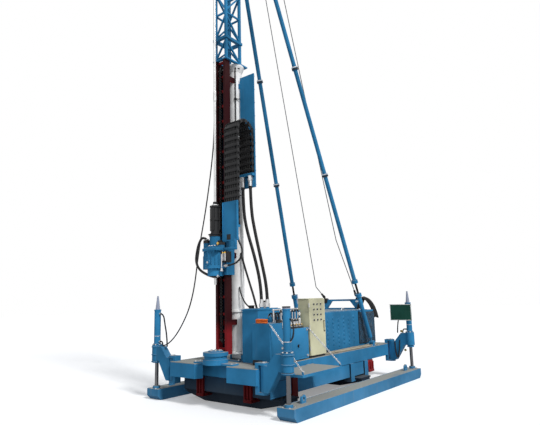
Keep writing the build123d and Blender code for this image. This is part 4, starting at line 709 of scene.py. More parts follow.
class RIG_OT_finishes(bpy.types.Operator):
    """Makes the rig's materials and puts one on every CAD node"""

    bl_idname = "rig.finishes"
    bl_label = "Finishes"

    own_finishes = {
        "left_stay_screw": "screw_paint",
        "right_stay_screw": "screw_paint",
        "mast_rails": "rail_paint",
        # Painted shade: the rear claws and the sub-frame have navy fronts, the front claws a darkened red
        "rear_claws": "oily_blue",
        "front_claws": SHADED_RED,
        "sub_frame": "oily_blue",
        "platform": "dusty_blue",
        "left_pontoon": "dusty_blue",
        "right_pontoon": "dusty_blue",
    }

    def execute(self, context):
        all_finishes()
        for part in frame["record"]["subparts"]:
            finish = self.own_finishes.get(part["node"], part["material_slot"])
            mesh = NODES[part["node"]].data
            mesh.materials.clear()
            mesh.materials.append(bpy.data.materials[finish])
        return {"FINISHED"}


class RIG_OT_stage(bpy.types.Operator):
    """Sets the camera, the pale floor, the white backdrop and soft light"""

    bl_idname = "rig.stage"
    bl_label = "Stage"

    eye = (5728, -5682, 1700)
    yaw = 0.66659
    pitch = 0.17484
    roll = -0.02309
    lens = 32.357
    sky = (0.35, 0.37, 0.40)
    floor_half = 60.0
    floor_lit = 0.4
    floor_seen = 0.80
    floor_glow = 0.28

    # Name, direction, strength and angle of each sun
    suns = (("key", (0.85, -0.22, 0.90), 2.5, 10), ("fill", (0.4, -0.9, 0.3), 0.5, 50))

    def camera(self):
        """The camera at the photograph's place."""
        data = bpy.data.cameras.new("camera")
        data.sensor_fit = "HORIZONTAL"
        data.sensor_width = 36
        data.lens = self.lens
        data.clip_end = 200
        level = Vector((-math.sin(self.yaw), math.cos(self.yaw), 0))
        side = Vector((math.cos(self.yaw), math.sin(self.yaw), 0))
        rise = Vector((0, 0, 1))
        forward = level * math.cos(self.pitch) + rise * math.sin(self.pitch)
        up = rise * math.cos(self.pitch) - level * math.sin(self.pitch)
        right = side * math.cos(self.roll) + up * math.sin(self.roll)
        top = up * math.cos(self.roll) - side * math.sin(self.roll)
        turn = Matrix((right, top, -forward)).transposed().to_4x4()
        camera = bpy.data.objects.new("camera", data)
        camera.matrix_world = Matrix.Translation(at(*self.eye)) @ turn
        bpy.context.scene.collection.objects.link(camera)
        bpy.context.scene.camera = camera

    def white_ray(self, graph):
        """1 where the camera, a reflection or a pane sees the backdrop, and 0 where it gives light."""
        seen = graph.add("ShaderNodeLightPath", output="Is Camera Ray")
        mirrored = graph.add("ShaderNodeLightPath", output="Is Glossy Ray")
        through = graph.add("ShaderNodeLightPath", output="Is Transmission Ray")
        return (seen + mirrored + through).clamp()

    def world(self):
        """Even sky light, with white where the backdrop is seen."""
        world = bpy.data.worlds.new("studio")
        world.use_nodes = True
        graph = Graph(world.node_tree)
        shade = graph.tint(self.white_ray(graph), opaque(self.sky), opaque((1, 1, 1)))
        graph.feed(world.node_tree.nodes["Background"].inputs["Color"], shade)
        bpy.context.scene.world = world

    def floor(self):
        """A pale floor that takes the rig's shadow and fades into the backdrop."""
        half = self.floor_half
        corners = [(-half, -half, 0), (half, -half, 0), (half, half, 0), (-half, half, 0)]
        mesh = bpy.data.meshes.new("floor")
        mesh.from_pydata(corners, [], [(0, 1, 2, 3)])
        material, shader, graph = new_material("pale_floor")
        seen = self.white_ray(graph)
        levels = (self.floor_lit, self.floor_seen, self.floor_glow)
        lit, shown, glow = (opaque([level] * 3) for level in levels)
        graph.feed(shader.inputs["Base Color"], graph.tint(seen, lit, shown))
        graph.feed(shader.inputs["Emission Color"], graph.tint(seen, opaque((0, 0, 0)), glow))
        shader.inputs["Emission Strength"].default_value = 1.0
        shader.inputs["Roughness"].default_value = 0.9
        shader.inputs["Specular IOR Level"].default_value = 0.0
        mesh.materials.append(material)
        obj = bpy.data.objects.new("floor", mesh)
        bpy.context.scene.collection.objects.link(obj)

    def sun(self, name, towards, strength, angle):
        """A broad soft sun from a direction."""
        data = bpy.data.lights.new(name, "SUN")
        data.energy = strength
        data.angle = math.radians(angle)
        light = bpy.data.objects.new(name, data)
        light.rotation_mode = "QUATERNION"
        light.rotation_quaternion = (-Vector(towards)).to_track_quat("-Z", "Y")
        bpy.context.scene.collection.objects.link(light)

    def execute(self, context):
        self.camera()
        self.world()
        self.floor()
        for row in self.suns:
            self.sun(*row)
        context.scene.view_settings.view_transform = "Standard"
        return {"FINISHED"}


class RIG_OT_cords(bpy.types.Operator):
    """Makes the two hydraulic hoses, the mast's cable and the head's hose"""

    bl_idname = "rig.cords"
    bl_label = "Cords"

    # Name, radius in metres and stiffness of each cord
    cords = (
        ("hose_front", 0.027, "stiff"),
        ("hose_rear", 0.027, "stiff"),
        ("mast_cable", 0.011, "medium"),
        ("head_hose", 0.015, "medium"),
    )
    curve_steps = 24

    def cord(self, name, radius, stiffness):
        """A tube along a cord's route."""
        points = in_metres(ROUTES[name])
        data = route_curve(name, points)
        data.splines[0].resolution_u = self.curve_steps
        line = plain_mesh(bpy.data.objects.new(name, data))
        mesh = grown(tube_tree, line, {"Radius": radius, "Finish": bpy.data.materials[RUBBER]})
        piece = placed(mesh, name + "_cord")
        if name == "head_hose":
            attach(piece, "rotary_head")
        else:
            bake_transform(piece)
        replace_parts(piece, name)

    def execute(self, context):
        for row in self.cords:
            self.cord(*row)
        return {"FINISHED"}


class RIG_OT_drag_chain(bpy.types.Operator):
    """Makes the drag chain's links and the lines inside it"""

    bl_idname = "rig.drag_chain"
    bl_label = "Drag chain"

    link_length = 0.110
    outer_plate = 0.007
    inner_plate = 0.015
    inset = 0.012
    bar_depth = 0.010
    bar_half = 0.026
    divider_place = 0.62
    divider_thickness = 0.006
    divider_half = 0.018
    line_shares = (0.12, 0.27, 0.42, 0.57, 0.72)
    line_radius = 0.019
    bend_steps = 12

    def link(self):
        """One link: two side plates with pivots, two cross bars and a divider."""
        half_x = (DRAG_X[1] - DRAG_X[0]) / 2000
        half_y = DRAG_DEPTH / 2000
        half_z = self.link_length / 2
        lap = half_z * 0.42
        pivot = -half_z * 0.62
        link = Builder()
        for side in (-1, 1):
            outer = side * half_x
            inner = side * (half_x - self.outer_plate)
            deep = side * (half_x - self.inner_plate)
            link.block((outer, -half_y, -half_z), (inner, half_y, lap), PLASTIC, 0.003)
            link.block((inner, -half_y, -lap), (deep, half_y, half_z * 1.25), PLASTIC, 0.003)
            link.rod((outer - side * self.inset, 0, pivot), (outer, 0, pivot), 0.015, PLASTIC, 12)
            across = half_x - self.inset
            face = side * half_y
            back = face - side * self.bar_depth
            link.block((-across, face, -self.bar_half), (across, back, self.bar_half), PLASTIC, 0.0035)
        x = self.divider_place * half_x
        deep = half_y - self.bar_depth
        low = (x, -deep, -self.divider_half)
        link.block(low, (x + self.divider_thickness, deep, self.divider_half), PLASTIC, 0)
        return link.mesh("drag_link")

    def links(self, places):
        """A piece with links at stations, levels and turns, and the places across of its lines."""
        piece = Builder()
        middle = sum(DRAG_X) / 2
        turned = [(at(middle, station, level), (turn, 0, 0)) for station, level, turn in places]
        piece.take(copies(self.link(), turned, PLASTIC), PLASTIC)
        return piece, [DRAG_X[0] + share * (DRAG_X[1] - DRAG_X[0]) for share in self.line_shares]

    def strand(self, name, front, low, high):
        """A straight run of links with its lines."""
        count = round((high - low) / 1000 / self.link_length)
        pitch = (high - low) / count
        middle = front + DRAG_DEPTH / 2
        piece, lines = self.links([(middle, low + pitch * (i + 0.5), 0) for i in range(count)])
        for x in lines:
            piece.rod(at(x, middle, low), at(x, middle, high), self.line_radius, RUBBER, 12)
        return piece.done(name, slot=PLASTIC)

    def loop(self):
        """The bend of links with its lines."""
        station, level = DRAG_BEND
        radius = station - DRAG_MOVING[0] - DRAG_DEPTH / 2
        count = round(math.pi * radius / 1000 / self.link_length)

        def bend(share):
            """The station, level and turn at a share of the bend."""
            turn = math.pi * share
            return station - radius * math.cos(turn), level + radius * math.sin(turn), -turn

        piece, lines = self.links([bend((i + 0.5) / count) for i in range(count)])
        steps = [bend(i / self.bend_steps) for i in range(self.bend_steps + 1)]
        for x in lines:
            piece.hose([at(x, s, z) for s, z, turn in steps], self.line_radius, RUBBER)
        return piece.done("drag_loop_links", "drag_loop", PLASTIC)

    def execute(self, context):
        front, low, high = DRAG_MOVING
        moving = self.strand("drag_moving_links", *DRAG_MOVING)
        at(0, front, low)
        at(0, front, 2 * high - low)
        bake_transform(moving)
        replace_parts(moving, "drag_chain_moving")
        front, low, high = DRAG_FIXED
        fixed = self.strand("drag_fixed_links", *DRAG_FIXED)
        at(0, front, 2 * high - low)
        at(0, front, low)
        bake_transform(fixed)
        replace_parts(fixed, "drag_chain_fixed")
        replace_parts(self.loop(), "drag_chain_loop")
        return {"FINISHED"}


class RIG_OT_chains(bpy.types.Operator):
    """Makes the platform's link chains and the roller chain of the feed"""

    bl_idname = "rig.chains"
    bl_label = "Chains"

    platform_runs = (
        ((964, 317, 1290), (1545, 317, 640)),
        ((964, 1367, 1180), (1545, 1367, 640)),
    )
    feed_stations = (240, 350)
    feed_levels = (1040, 5800)
    roller_half = 0.018
    plate_place = 0.0195
    plate_half = 0.0022

    # Sprocket, hub and shaft at each end: half length, share of the radius, finish and sides
    feed_ends = ((14, 1, BLACK, 28), (22, 0.55, BLACK, 20), (80, 0.28, BRIGHT, 14))

    def platform_chains(self, sizes):
        """Two chains of oval links from the pack to the platform's outer edge."""
        piece = Builder()
        finish = bpy.data.materials[BRIGHT]
        settings = {"Pitch": sizes.chain_pitch, "Wire": sizes.chain_wire, "Finish": finish}
        for run in self.platform_runs:
            piece.take(grown(chain_tree, edge_path(in_metres(run)), settings), BRIGHT)
        chains = piece.done("platform_link_chains", slot=BRIGHT)
        top, low = in_metres(self.platform_runs[0])
        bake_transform(chains)
        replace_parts(chains, "platform_chains")

    def roller_link(self, pitch):
        """A roller with its pair of plates."""
        link = Builder()
        link.rod((-self.roller_half, 0, 0), (self.roller_half, 0, 0), 0.012, BLACK, 10)
        for x in (-self.plate_place, self.plate_place):
            low = (x - self.plate_half, -0.014, -pitch * 0.25)
            link.block(low, (x + self.plate_half, 0.014, pitch * 1.25), BLACK, 0)
        return link.mesh("roller_link")

    def feed_chain(self, sizes):
        """Both strands of the feed's roller chain with the end sprockets."""
        low, high = self.feed_levels
        pitch = sizes.roller_pitch
        count = int((high - low) / 1000 / pitch)
        places = []
        for station in self.feed_stations:
            places += [(at(0, station, low + 1000 * pitch * i), (0, 0, 0)) for i in range(count)]
        piece = Builder()
        piece.take(copies(self.roller_link(pitch), places, BLACK), BLACK)
        middle = sum(self.feed_stations) / 2
        radius = (self.feed_stations[1] - self.feed_stations[0]) / 2000
        for level in self.feed_levels:
            for half, share, finish, sides in self.feed_ends:
                piece.rod(at(-half, middle, level), at(half, middle, level), radius * share, finish, sides)
        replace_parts(piece.done("feed_roller_chain", "mast", BLACK), "feed_chain")

    def execute(self, context):
        sizes = context.scene.rig_sizes
        self.platform_chains(sizes)
        self.feed_chain(sizes)
        return {"FINISHED"}


def ring(centre, radius, count, first=0, sweep=360):
    """Places on a circle round an upright axis, with their turns; sizes in millimetres and degrees."""
    x, station, z = centre
    angles = [math.radians(first + sweep * i / count) for i in range(count)]
    return [(at(x + radius * math.cos(a), station + radius * math.sin(a), z), (0, 0, a)) for a in angles]


def spots(points, direction=(0, 0, 1)):
    """Places that all look one way."""
    return [(place, facing(direction)) for place in in_metres(points)]


def corners(across, stations, z):
    """The points where two places across and two stations meet."""
    return [(x, station, z) for x in across for station in stations]


def both_sides(rows):
    """Rows that start with two points on the right side, and the same rows on the left."""
    left = [((-a[0], *a[1:]), (-b[0], *b[1:]), *rest) for a, b, *rest in rows]
    return [*rows, *left]


class RIG_OT_bolts(bpy.types.Operator):
    """Makes the bolt heads of the flanges and cover plates"""

    bl_idname = "rig.bolts"
    bl_label = "Bolts"

    washer = 0.003

    # Flanges with a bolt in each corner: places across, stations and level
    chassis_flanges = (
        ((-400, 400), (45, 150), 705),
        ((-150, 150), (480, 780), 700),
        ((-928, -862), (3722, 3858), 694),
        ((862, 928), (3722, 3858), 694),
    )
    cover_side = 953
    cover_stations = (690, 1320)
    cover_levels = (745, 1165)
    lattice_levels = (6425, 8425, 10425)
    lattice_flanges = (((-60, 60), (255, 635)), ((-135, 135), (380, 510)))
    trough_sides = (172, 472)
    trough_station = 610
    trough_levels = range(3650, 5900, 250)

    def head(self, sizes):
        """A washer with a hexagon head on it."""
        shape = Builder()
        radius = sizes.bolt_across / 2
        shape.rod((0, 0, 0), (0, 0, self.washer), radius * 1.25, BRIGHT, 12)
        shape.rod((0, 0, self.washer), (0, 0, sizes.bolt_height), radius, BRIGHT, 6)
        return shape.mesh("bolt_head")

    def chassis(self):
        """Bolts of the jacks, rod clamp, housing, stay feet, mast foot and power pack."""
        places = ring((0, SPINDLE, 890), 90, 8)
        for x in (-JACK_X, JACK_X):
            for station in JACK_STATIONS:
                places += ring((x, station, 927), 73, 6)
        for flange in self.chassis_flanges:
            places += spots(corners(*flange))
        cover = [(self.cover_side, s, z) for s in self.cover_stations for z in self.cover_levels]
        return places + spots(cover, (1, 0, 0))

    def mast(self):
        """Bolts of the column's foot, the drag chain's trough and the lattice's flanges."""
        places = ring((0, COLUMN_STATION, 828), 148, 12)
        trough = [(x, self.trough_station, z) for x in self.trough_sides for z in self.trough_levels]
        places += spots(trough, (0, 1, 0))
        for level in self.lattice_levels:
            for across, stations in self.lattice_flanges:
                places += spots(corners(across, stations, level))
        return places

    def execute(self, context):
        sizes = context.scene.rig_sizes
        lid = ring((0, SPINDLE, 2572), 107, 9, 150, 240)
        groups = {"chassis": self.chassis(), "mast": self.mast(), "rotary_head": lid}
        for body, x in (("left_pontoon", -JACK_X), ("right_pontoon", JACK_X)):
            groups[body] = [spot for s in JACK_STATIONS for spot in ring((x, s, 185), 84, 4, 45)]
        for body, places in groups.items():
            placed(copies(self.head(sizes), places, BRIGHT), body + "_bolts", body)
        return {"FINISHED"}


class RIG_OT_mast_fittings(bpy.types.Operator):
    """Makes the mast's pipe, web, hose ends, small hoses and guy ropes"""

    bl_idname = "rig.mast_fittings"
    bl_label = "Mast fittings"

    pipe = (98, 532)
    pipe_levels = (3300, 5900)
    clip_levels = range(3480, 5900, 600)
    web = ((-80, 373, 840), (80, 379, 5940), NAVY, 0.002)
    web_edge = ((77, 352, 840), (80, 376, 5940), NAVY, 0)
    ropes_left = ((-120, 672, 12410), (-400, 3740, 1930), (-410, REST_STATION, 1655))
    ropes_right = ((120, 672, 12410), (170, 2502, 6639), (330, 3487, 2919), (410, REST_STATION, 1655))
    thin_hose = ((122, 556, 1900), (150, 545, 1800), (250, 535, 1640), (334, 560, 1560), (345, 580, 1538))
    thick_hose = ((135, 590, 2480), (190, 580, 2330), (330, 560, 2000), (440, 560, 1720), (470, 590, 1538))

    def line(self):
        """The upright pipe with its clips, the web between the rails, and the ends of the cords."""
        piece = Builder()
        x, s = self.pipe
        low, high = self.pipe_levels
        piece.bars([((x, s, low), (x, s, high), 0.011, RUBBER, 12)])
        for z in self.clip_levels:
            piece.slabs([((x - 22, s - 18, z), (x + 18, s + 22, z + 36), BLACK, 0.004)])
            piece.bars([((x, s, z + 18), (x + 62, s + 62, z + 18), 0.008, BLACK, 8)])
        for hose in ("hose_front", "hose_rear"):
            x, s, top = ROUTES[hose][0]
            piece.fittings([((x, s, 3620), (x, s, top + 3), 0.033, BRIGHT)])
            piece.bars([((x, s, 3580), (x, s, 3622), 0.031, BLACK, 16)])
        x, s, top = ROUTES["mast_cable"][0]
        piece.fittings([((x, s, top - 70), (x, s, top), 0.016, BRIGHT)])
        piece.slabs([self.web, *both_sides([self.web_edge])])
        piece.done("mast_line", "mast", RUBBER)

    def ropes(self, radius):
        """Two guy ropes from the mast's top to the saddle, and their end fittings."""
        piece = Builder()
        left = in_metres(self.ropes_left)
        for route in (left, in_metres(self.ropes_right)):
            for start, end in zip(route, route[1:]):
                piece.rod(start, end, radius, "rope_steel", 8)
            slope = (route[-1] - route[-2]).normalized()
            piece.fitting(route[-1] - slope * 0.20, route[-1] - slope * 0.06, radius * 2.6, BLACK)
            slope = (route[1] - route[0]).normalized()
            piece.fitting(route[0] + slope * 0.16, route[0], radius * 2.2, BLACK)
        ropes = piece.done("guy_ropes", slot=BLACK)
        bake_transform(ropes)

    def hoses(self):
        """Two small hoses from the column down to the tank."""
        piece = Builder()
        piece.hoses([(self.thin_hose, 0.012, RUBBER), (self.thick_hose, 0.018, RUBBER)])
        hoses = piece.done("column_hoses", slot=RUBBER)
        at(*self.thick_hose[-1])
        at(*self.thick_hose[0])
        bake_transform(hoses)

    def execute(self, context):
        self.line()
        self.hoses()
        self.ropes(context.scene.rig_sizes.rope_radius)
        return {"FINISHED"}


class RIG_OT_head_fittings(bpy.types.Operator):
    """Makes the rotary head's hoses, caps and covers, and the chuck's jaws"""

    bl_idname = "rig.head_fittings"
    bl_label = "Head fittings"

    lower_hose = (
        (-193, 92, 2700),
        (-225, 30, 2760),
        (-285, -8, 2640),
        (-330, -15, 2470),
        (-350, -10, 2333),
        (-285, 0, 2200),
        (-120, 10, 2112),
        (40, 30, 2060),
        (100, 60, 2086),
    )
    motor_hose = ((188, 52, 2430), (188, 52, 2500), (150, 70, 2540), (128, 92, 2600))

    # Motor caps, plug, lid, seal and small pipes
    head_bars = (
        ((-193, SPINDLE, 2640), (-193, SPINDLE, 2690), 0.066, PLASTIC, 28),
        ((128, SPINDLE, 2585), (128, SPINDLE, 2632), 0.066, PLASTIC, 28),
        ((0, -82, 2300), (0, -58, 2300), 0.042, BLUE, 24),
        ((0, -90, 2300), (0, -82, 2300), 0.018, BRIGHT, 6),
        ((0, SPINDLE, 2556), (0, SPINDLE, 2572), 0.118, BLUE, 40),
        ((0, SPINDLE, 2736), (0, SPINDLE, 2757), 0.102, BLACK, 40),
        ((188, 52, 2215), (188, 52, 2430), 0.011, BRIGHT, 14),
        ((128, 40, 2610), (128, 22, 2610), 0.024, BRASS, 14),
        ((216, 58, 2320), (216, 58, 2440), 0.012, BRIGHT, 14),
        ((216, 58, 2440), (216, 58, 2462), 0.018, BRASS, 6),
        ((262, 58, 2320), (262, 58, 2440), 0.012, BRIGHT, 14),
        ((262, 58, 2440), (262, 58, 2462), 0.018, BRASS, 6),
    )

    # Motor block, bracket flanges, clamp, the arm across the front, and a valve block
    head_slabs = (
        ((100, 50, 2632), (156, 150, 2660), BLACK, 0.006),
        ((165, 96, 2645), (173, 115, 3296), BLUE, 0.002),
        ((484, 96, 2645), (492, 115, 3296), BLUE, 0.002),
        ((252, 111, 2662), (336, 118, 2752), BLACK, 0.002),
        ((-130, -78, 2486), (170, -52, 2534), BLUE, 0.006),
        ((150, -70, 2486), (190, 115, 2534), BLUE, 0.006),
        ((170, 90, 2486), (480, 116, 2534), BLUE, 0.006),
        ((424, 92, 2520), (480, 114, 2660), BLUE, 0.006),
        ((180, 66, 2292), (312, 160, 2470), BLACK, 0.008),
    )
    hose_ends = (
        ((-193, 100, 2676), (-193, 92, 2712), 0.026, BRIGHT),
        ((84, 50, 2066), (104, 62, 2092), 0.025, BRIGHT),
        ((188, 52, 2205), (188, 52, 2150), 0.017, BRIGHT),
    )
    chuck_bars = (
        ((0, SPINDLE, 2766), (0, SPINDLE, 2776), 0.120, BLACK, 40),
        ((0, SPINDLE, 3258), (0, SPINDLE, 3284), 0.058, BRIGHT, 32),
        ((0, SPINDLE, 3284), (0, SPINDLE, 3330), 0.040, BLACK, 6),
    )
    rod_joints = (5150, 8150)
    joint_length = 150
    joint_taper = 25
    joint_radius = 0.029
    drill_radius = 0.023

    def head(self):
        """Hoses, motor caps, ribs and covers on the gearbox."""
        piece = Builder()
        piece.hoses([(self.lower_hose, 0.021, RUBBER), (self.motor_hose, 0.011, RUBBER)])
        piece.fittings(self.hose_ends)
        x, s, z = ROUTES["head_hose"][-1]
        piece.fittings([((x + 70, s, z), (x - 3, s, z), 0.019, BRIGHT)])
        x, s, z = ROUTES["head_hose"][0]
        piece.fittings([((x, s, z - 75), (x, s, z), 0.019, BRIGHT)])
        piece.ribs(ring((0, SPINDLE, 2400), 166, 7, 208, 146), (0.009, 0.006, 0.135), BLUE, 0.002)
        piece.bars(self.head_bars)
        piece.slabs(self.head_slabs)
        piece.done("head_fittings", "rotary_head", BLUE)

    def chuck(self):
        """Jaws, end rings and the tie of the chuck, and the joints of the drill rod."""
        piece = Builder()
        piece.ribs(ring((0, SPINDLE, 3030), 80, 4, 20), (0.011, 0.019, 0.195), BLACK, 0.003)
        piece.bars(self.chuck_bars)
        piece.bands([((0, SPINDLE, 3246), 79, 0.006, BRASS, 16)])
        for level in self.rod_joints:
            low = at(0, SPINDLE, level)
            high = at(0, SPINDLE, level + self.joint_length)
            taper = Vector((0, 0, self.joint_taper / 1000))
            piece.rod(low, high, self.joint_radius, BRIGHT, 24)
            piece.rod(high, high + taper, self.joint_radius, BRIGHT, 24, self.drill_radius)
            piece.rod(low, low - taper, self.joint_radius, BRIGHT, 24, self.drill_radius)
        piece.done("chuck_jaws", "spindle", BLACK)

    def execute(self, context):
        self.head()
        self.chuck()
        return {"FINISHED"}


class RIG_OT_hydraulics(bpy.types.Operator):
    """Makes the fittings of the power pack, the valves, the oil tank and the pump"""

    bl_idname = "rig.hydraulics"
    bl_label = "Hydraulics"

    lever_x = 861
    lever_first = 731
    lever_pitch = 78
    lever_count = 7
    hose_count = 5
    gauge_levels = (1428, 1330)

    # The guard rail and its posts, and the valves' return pipe
    valve_bars = (
        ((760, 640, 1510), (760, 1350, 1510), 0.014, BRIGHT, 14),
        ((760, 662, 1200), (760, 662, 1510), 0.014, BRIGHT, 14),
        ((760, 1338, 1200), (760, 1338, 1510), 0.014, BRIGHT, 14),
        ((815, 640, 1336), (815, 1240, 1336), 0.016, BRIGHT, 14),
    )
    rail_ends = ((760, 662, 1510), (760, 1338, 1510))

    # The valves' foot plate and the gauge box
    valve_slabs = (
        ((642, 690, 1199), (947, 1240, 1224), BLACK, 0.003),
        ((680, 1256, 1200), (806, 1352, 1484), BLUE, 0.006),
    )

    # Side covers, the lock's handle and the front step
    pack_slabs = (
        ((946, 668, 724), (953, 1342, 1188), BLUE, 0.002),
        ((946, 330, 724), (953, 622, 1290), BLUE, 0.002),
        ((966, 1047, 890), (974, 1063, 944), PLASTIC, 0.002),
        ((612, 296, 684), (800, 312, 758), BLACK, 0.004),
    )

    # The lock, the filler cap and a roller
    pack_bars = (
        ((952, 1055, 917), (966, 1055, 917), 0.019, PLASTIC, 18),
        ((905, 590, 1308), (905, 590, 1350), 0.034, PLASTIC, 20),
        ((905, 590, 1350), (905, 590, 1362), 0.040, PLASTIC, 10),
        ((640, 290, 716), (772, 290, 716), 0.026, RUBBER, 16),
    )

    # The sling's loop, across and back, and the level and shift of each turn
    sling_loop = ((648, 340), (760, 330), (846, 348), (850, 400), (760, 424), (652, 408))
    sling_turns = ((1324, 0), (1346, 18), (1364, 6))

    # Filler and filter
    tank_bars = (
        ((330, 620, 1540), (330, 620, 1578), 0.046, PLASTIC, 24),
        ((330, 620, 1578), (330, 620, 1590), 0.052, PLASTIC, 12),
        ((380, 900, 1540), (380, 900, 1640), 0.058, BRIGHT, 28),
        ((380, 900, 1640), (380, 900, 1664), 0.064, BLACK, 28),
    )
    tank_lid = ((268, 488, 1528), (572, 1032, 1540), BLUE, 0.003)
    tank_hose = ((380, 1000, 1500), (380, 1080, 1470), (400, 1120, 1250), (400, 1130, 1010), (400, 1160, 990))
    fin_stations = range(1190, 1580, 26)
    terminal_box = ((330, 1330, 1010), (470, 1480, 1090), BLUE, 0.008)
    terminal_gland = ((330, 1400, 1050), (296, 1400, 1050), 0.022, PLASTIC, 12)

    # Place across, and how far back the bend reaches, of the pump's hoses
    pump_hoses = ((350, 1420), (450, 1330))

    def valves(self):
        """Lever boots and knobs, spool caps, valve hoses, rails and the gauge box."""
        piece = Builder()
        x = self.lever_x
        for i in range(self.lever_count):
            s = self.lever_first + self.lever_pitch * i
            piece.rod(at(x, s, 1310), at(x, s, 1350), 0.022, RUBBER, 14, 0.010)
            piece.ball(at(x, s, 1486), 0.019, PLASTIC, (1, 1, 1.25))
            piece.bars((
                ((900, s, 1262), (936, s, 1262), 0.020, BRIGHT, 12),
                ((936, s, 1262), (944, s, 1262), 0.014, BRASS, 6),
                ((700, s, 1306), (700, s, 1330), 0.017, BRIGHT, 6),
            ))
            if i < self.hose_count:
                end = (586, s + 8, 1400)
                route = ((700, s, 1325), (700, s, 1410), (655, s + 6, 1465), (612, s + 8, 1430), end)
                piece.hoses([(route, 0.013, RUBBER)])
                piece.bars([(end, (604, s + 8, 1421), 0.018, BRIGHT, 6)])
        piece.bars(self.valve_bars)
        piece.slabs(self.valve_slabs)
        for place in in_metres(self.rail_ends):
            piece.ball(place, 0.017, BRIGHT)
        for z in self.gauge_levels:
            piece.bars((
                ((804, 1304, z), (824, 1304, z), 0.038, BLACK, 24),
                ((824, 1304, z), (826, 1304, z), 0.032, WHITE, 24),
                ((826, 1304, z), (828, 1304, z), 0.006, BLACK, 8),
            ))
        piece.done("valve_fittings", "chassis", RUBBER)

    def pack(self):
        """The pack's side covers, lock, cap and roller, and the sling that lies on it."""
        piece = Builder()
        piece.slabs(self.pack_slabs)
        piece.bars(self.pack_bars)
        for level, shift in self.sling_turns:
            loop = enumerate(self.sling_loop)
            route = [at(x - shift, s + shift, level + 5 * (i % 2)) for i, (x, s) in loop]
            piece.hose(route, 0.013, "orange_webbing", cyclic=True)
        piece.done("pack_fittings", "chassis", BLUE)

    def tank(self):
        """The tank's lid, filler, filter and pipe, and the ends of the two large hoses."""
        piece = Builder()
        piece.slabs([self.tank_lid])
        piece.bars(self.tank_bars)
        for hose in ("hose_front", "hose_rear"):
            x, s, low = ROUTES[hose][-1]
            piece.fittings([((x, s, low + 95), (x, s, low - 30), 0.033, BRIGHT)])
        piece.hoses([(self.tank_hose, 0.019, RUBBER)])
        piece.done("tank_fittings", "chassis", BLUE)

    def pump(self):
        """Cooling fins, terminal box and hoses of the pump motor."""
        fin = Builder()
        fin.rod((0, 0, 0), (0, 0, 0.007), 0.160, BLUE, 24)
        places = spots([(400, s, 870) for s in self.fin_stations], (0, 1, 0))
        piece = Builder()
        piece.take(copies(fin.mesh("fin"), places, BLUE), BLUE)
        piece.slabs([self.terminal_box])
        piece.bars([self.terminal_gland])
        for x, reach in self.pump_hoses:
            foot = (x, 1800, 930)
            route = (foot, (x, 1800, 1060), (x, 1740, 1150), (x + 20, reach, 1180), (x + 60, 1120, 1170))
            piece.hoses([(route, 0.016, RUBBER)])
            piece.fittings([((x, 1800, 1000), foot, 0.022, BRIGHT)])
        piece.done("pump_fittings", "chassis", BLUE)

    def execute(self, context):
        self.valves()
        self.pack()
        self.tank()
        self.pump()
        return {"FINISHED"}


class RIG_OT_cabinet_fittings(bpy.types.Operator):
    """Makes the cabinet's roof, hinges, vents, foot hoses and button rings"""

    bl_idname = "rig.cabinet_fittings"
    bl_label = "Cabinet fittings"

    roof = ((712, 1412, 1668), (928, 1928, 1682), CREAM, 0.004)
    plinth = ((722, 1424, 682), (926, 1916, 722), BLACK, 0.003)
    latch = ((949, 1860, 1096), (953, 1900, 1294), BLACK, 0.001)
    hinge_levels = (800, 1165, 1530)
    vent_levels = range(1400, 1624, 28)
    hose_stations = (1900, 1870, 1840)
    button_stations = (1560, 1670, 1780)
    button_levels = (1580, 1490, 1400, 1310)

    def execute(self, context):
        shell = Builder()
        shell.slabs([self.roof, self.plinth])
        for z in self.hinge_levels:
            shell.bars([((957, 1409, z), (957, 1409, z + 70), 0.009, BRIGHT, 12)])
        for z in self.vent_levels:
            shell.slabs([((760, 1918, z), (890, 1930, z + 12), CREAM, 0.003)])
        for s in self.hose_stations:
            far = ((860, s + 200, 697), (780, s + 380, 700), (740, s + 420, 720))
            shell.hoses([(((870, s, 690), (900, s + 60, 700), *far), 0.012, RUBBER)])
        shell.done("cabinet_fittings", "chassis", CREAM)
        door = Builder()
        for s in self.button_stations:
            for z in self.button_levels:
                door.bars([((949, s, z), (953, s, z), 0.022, BRIGHT, 20)])
        door.slabs([self.latch])
        door.done("door_fittings", "cabinet_door", BRIGHT)
        return {"FINISHED"}


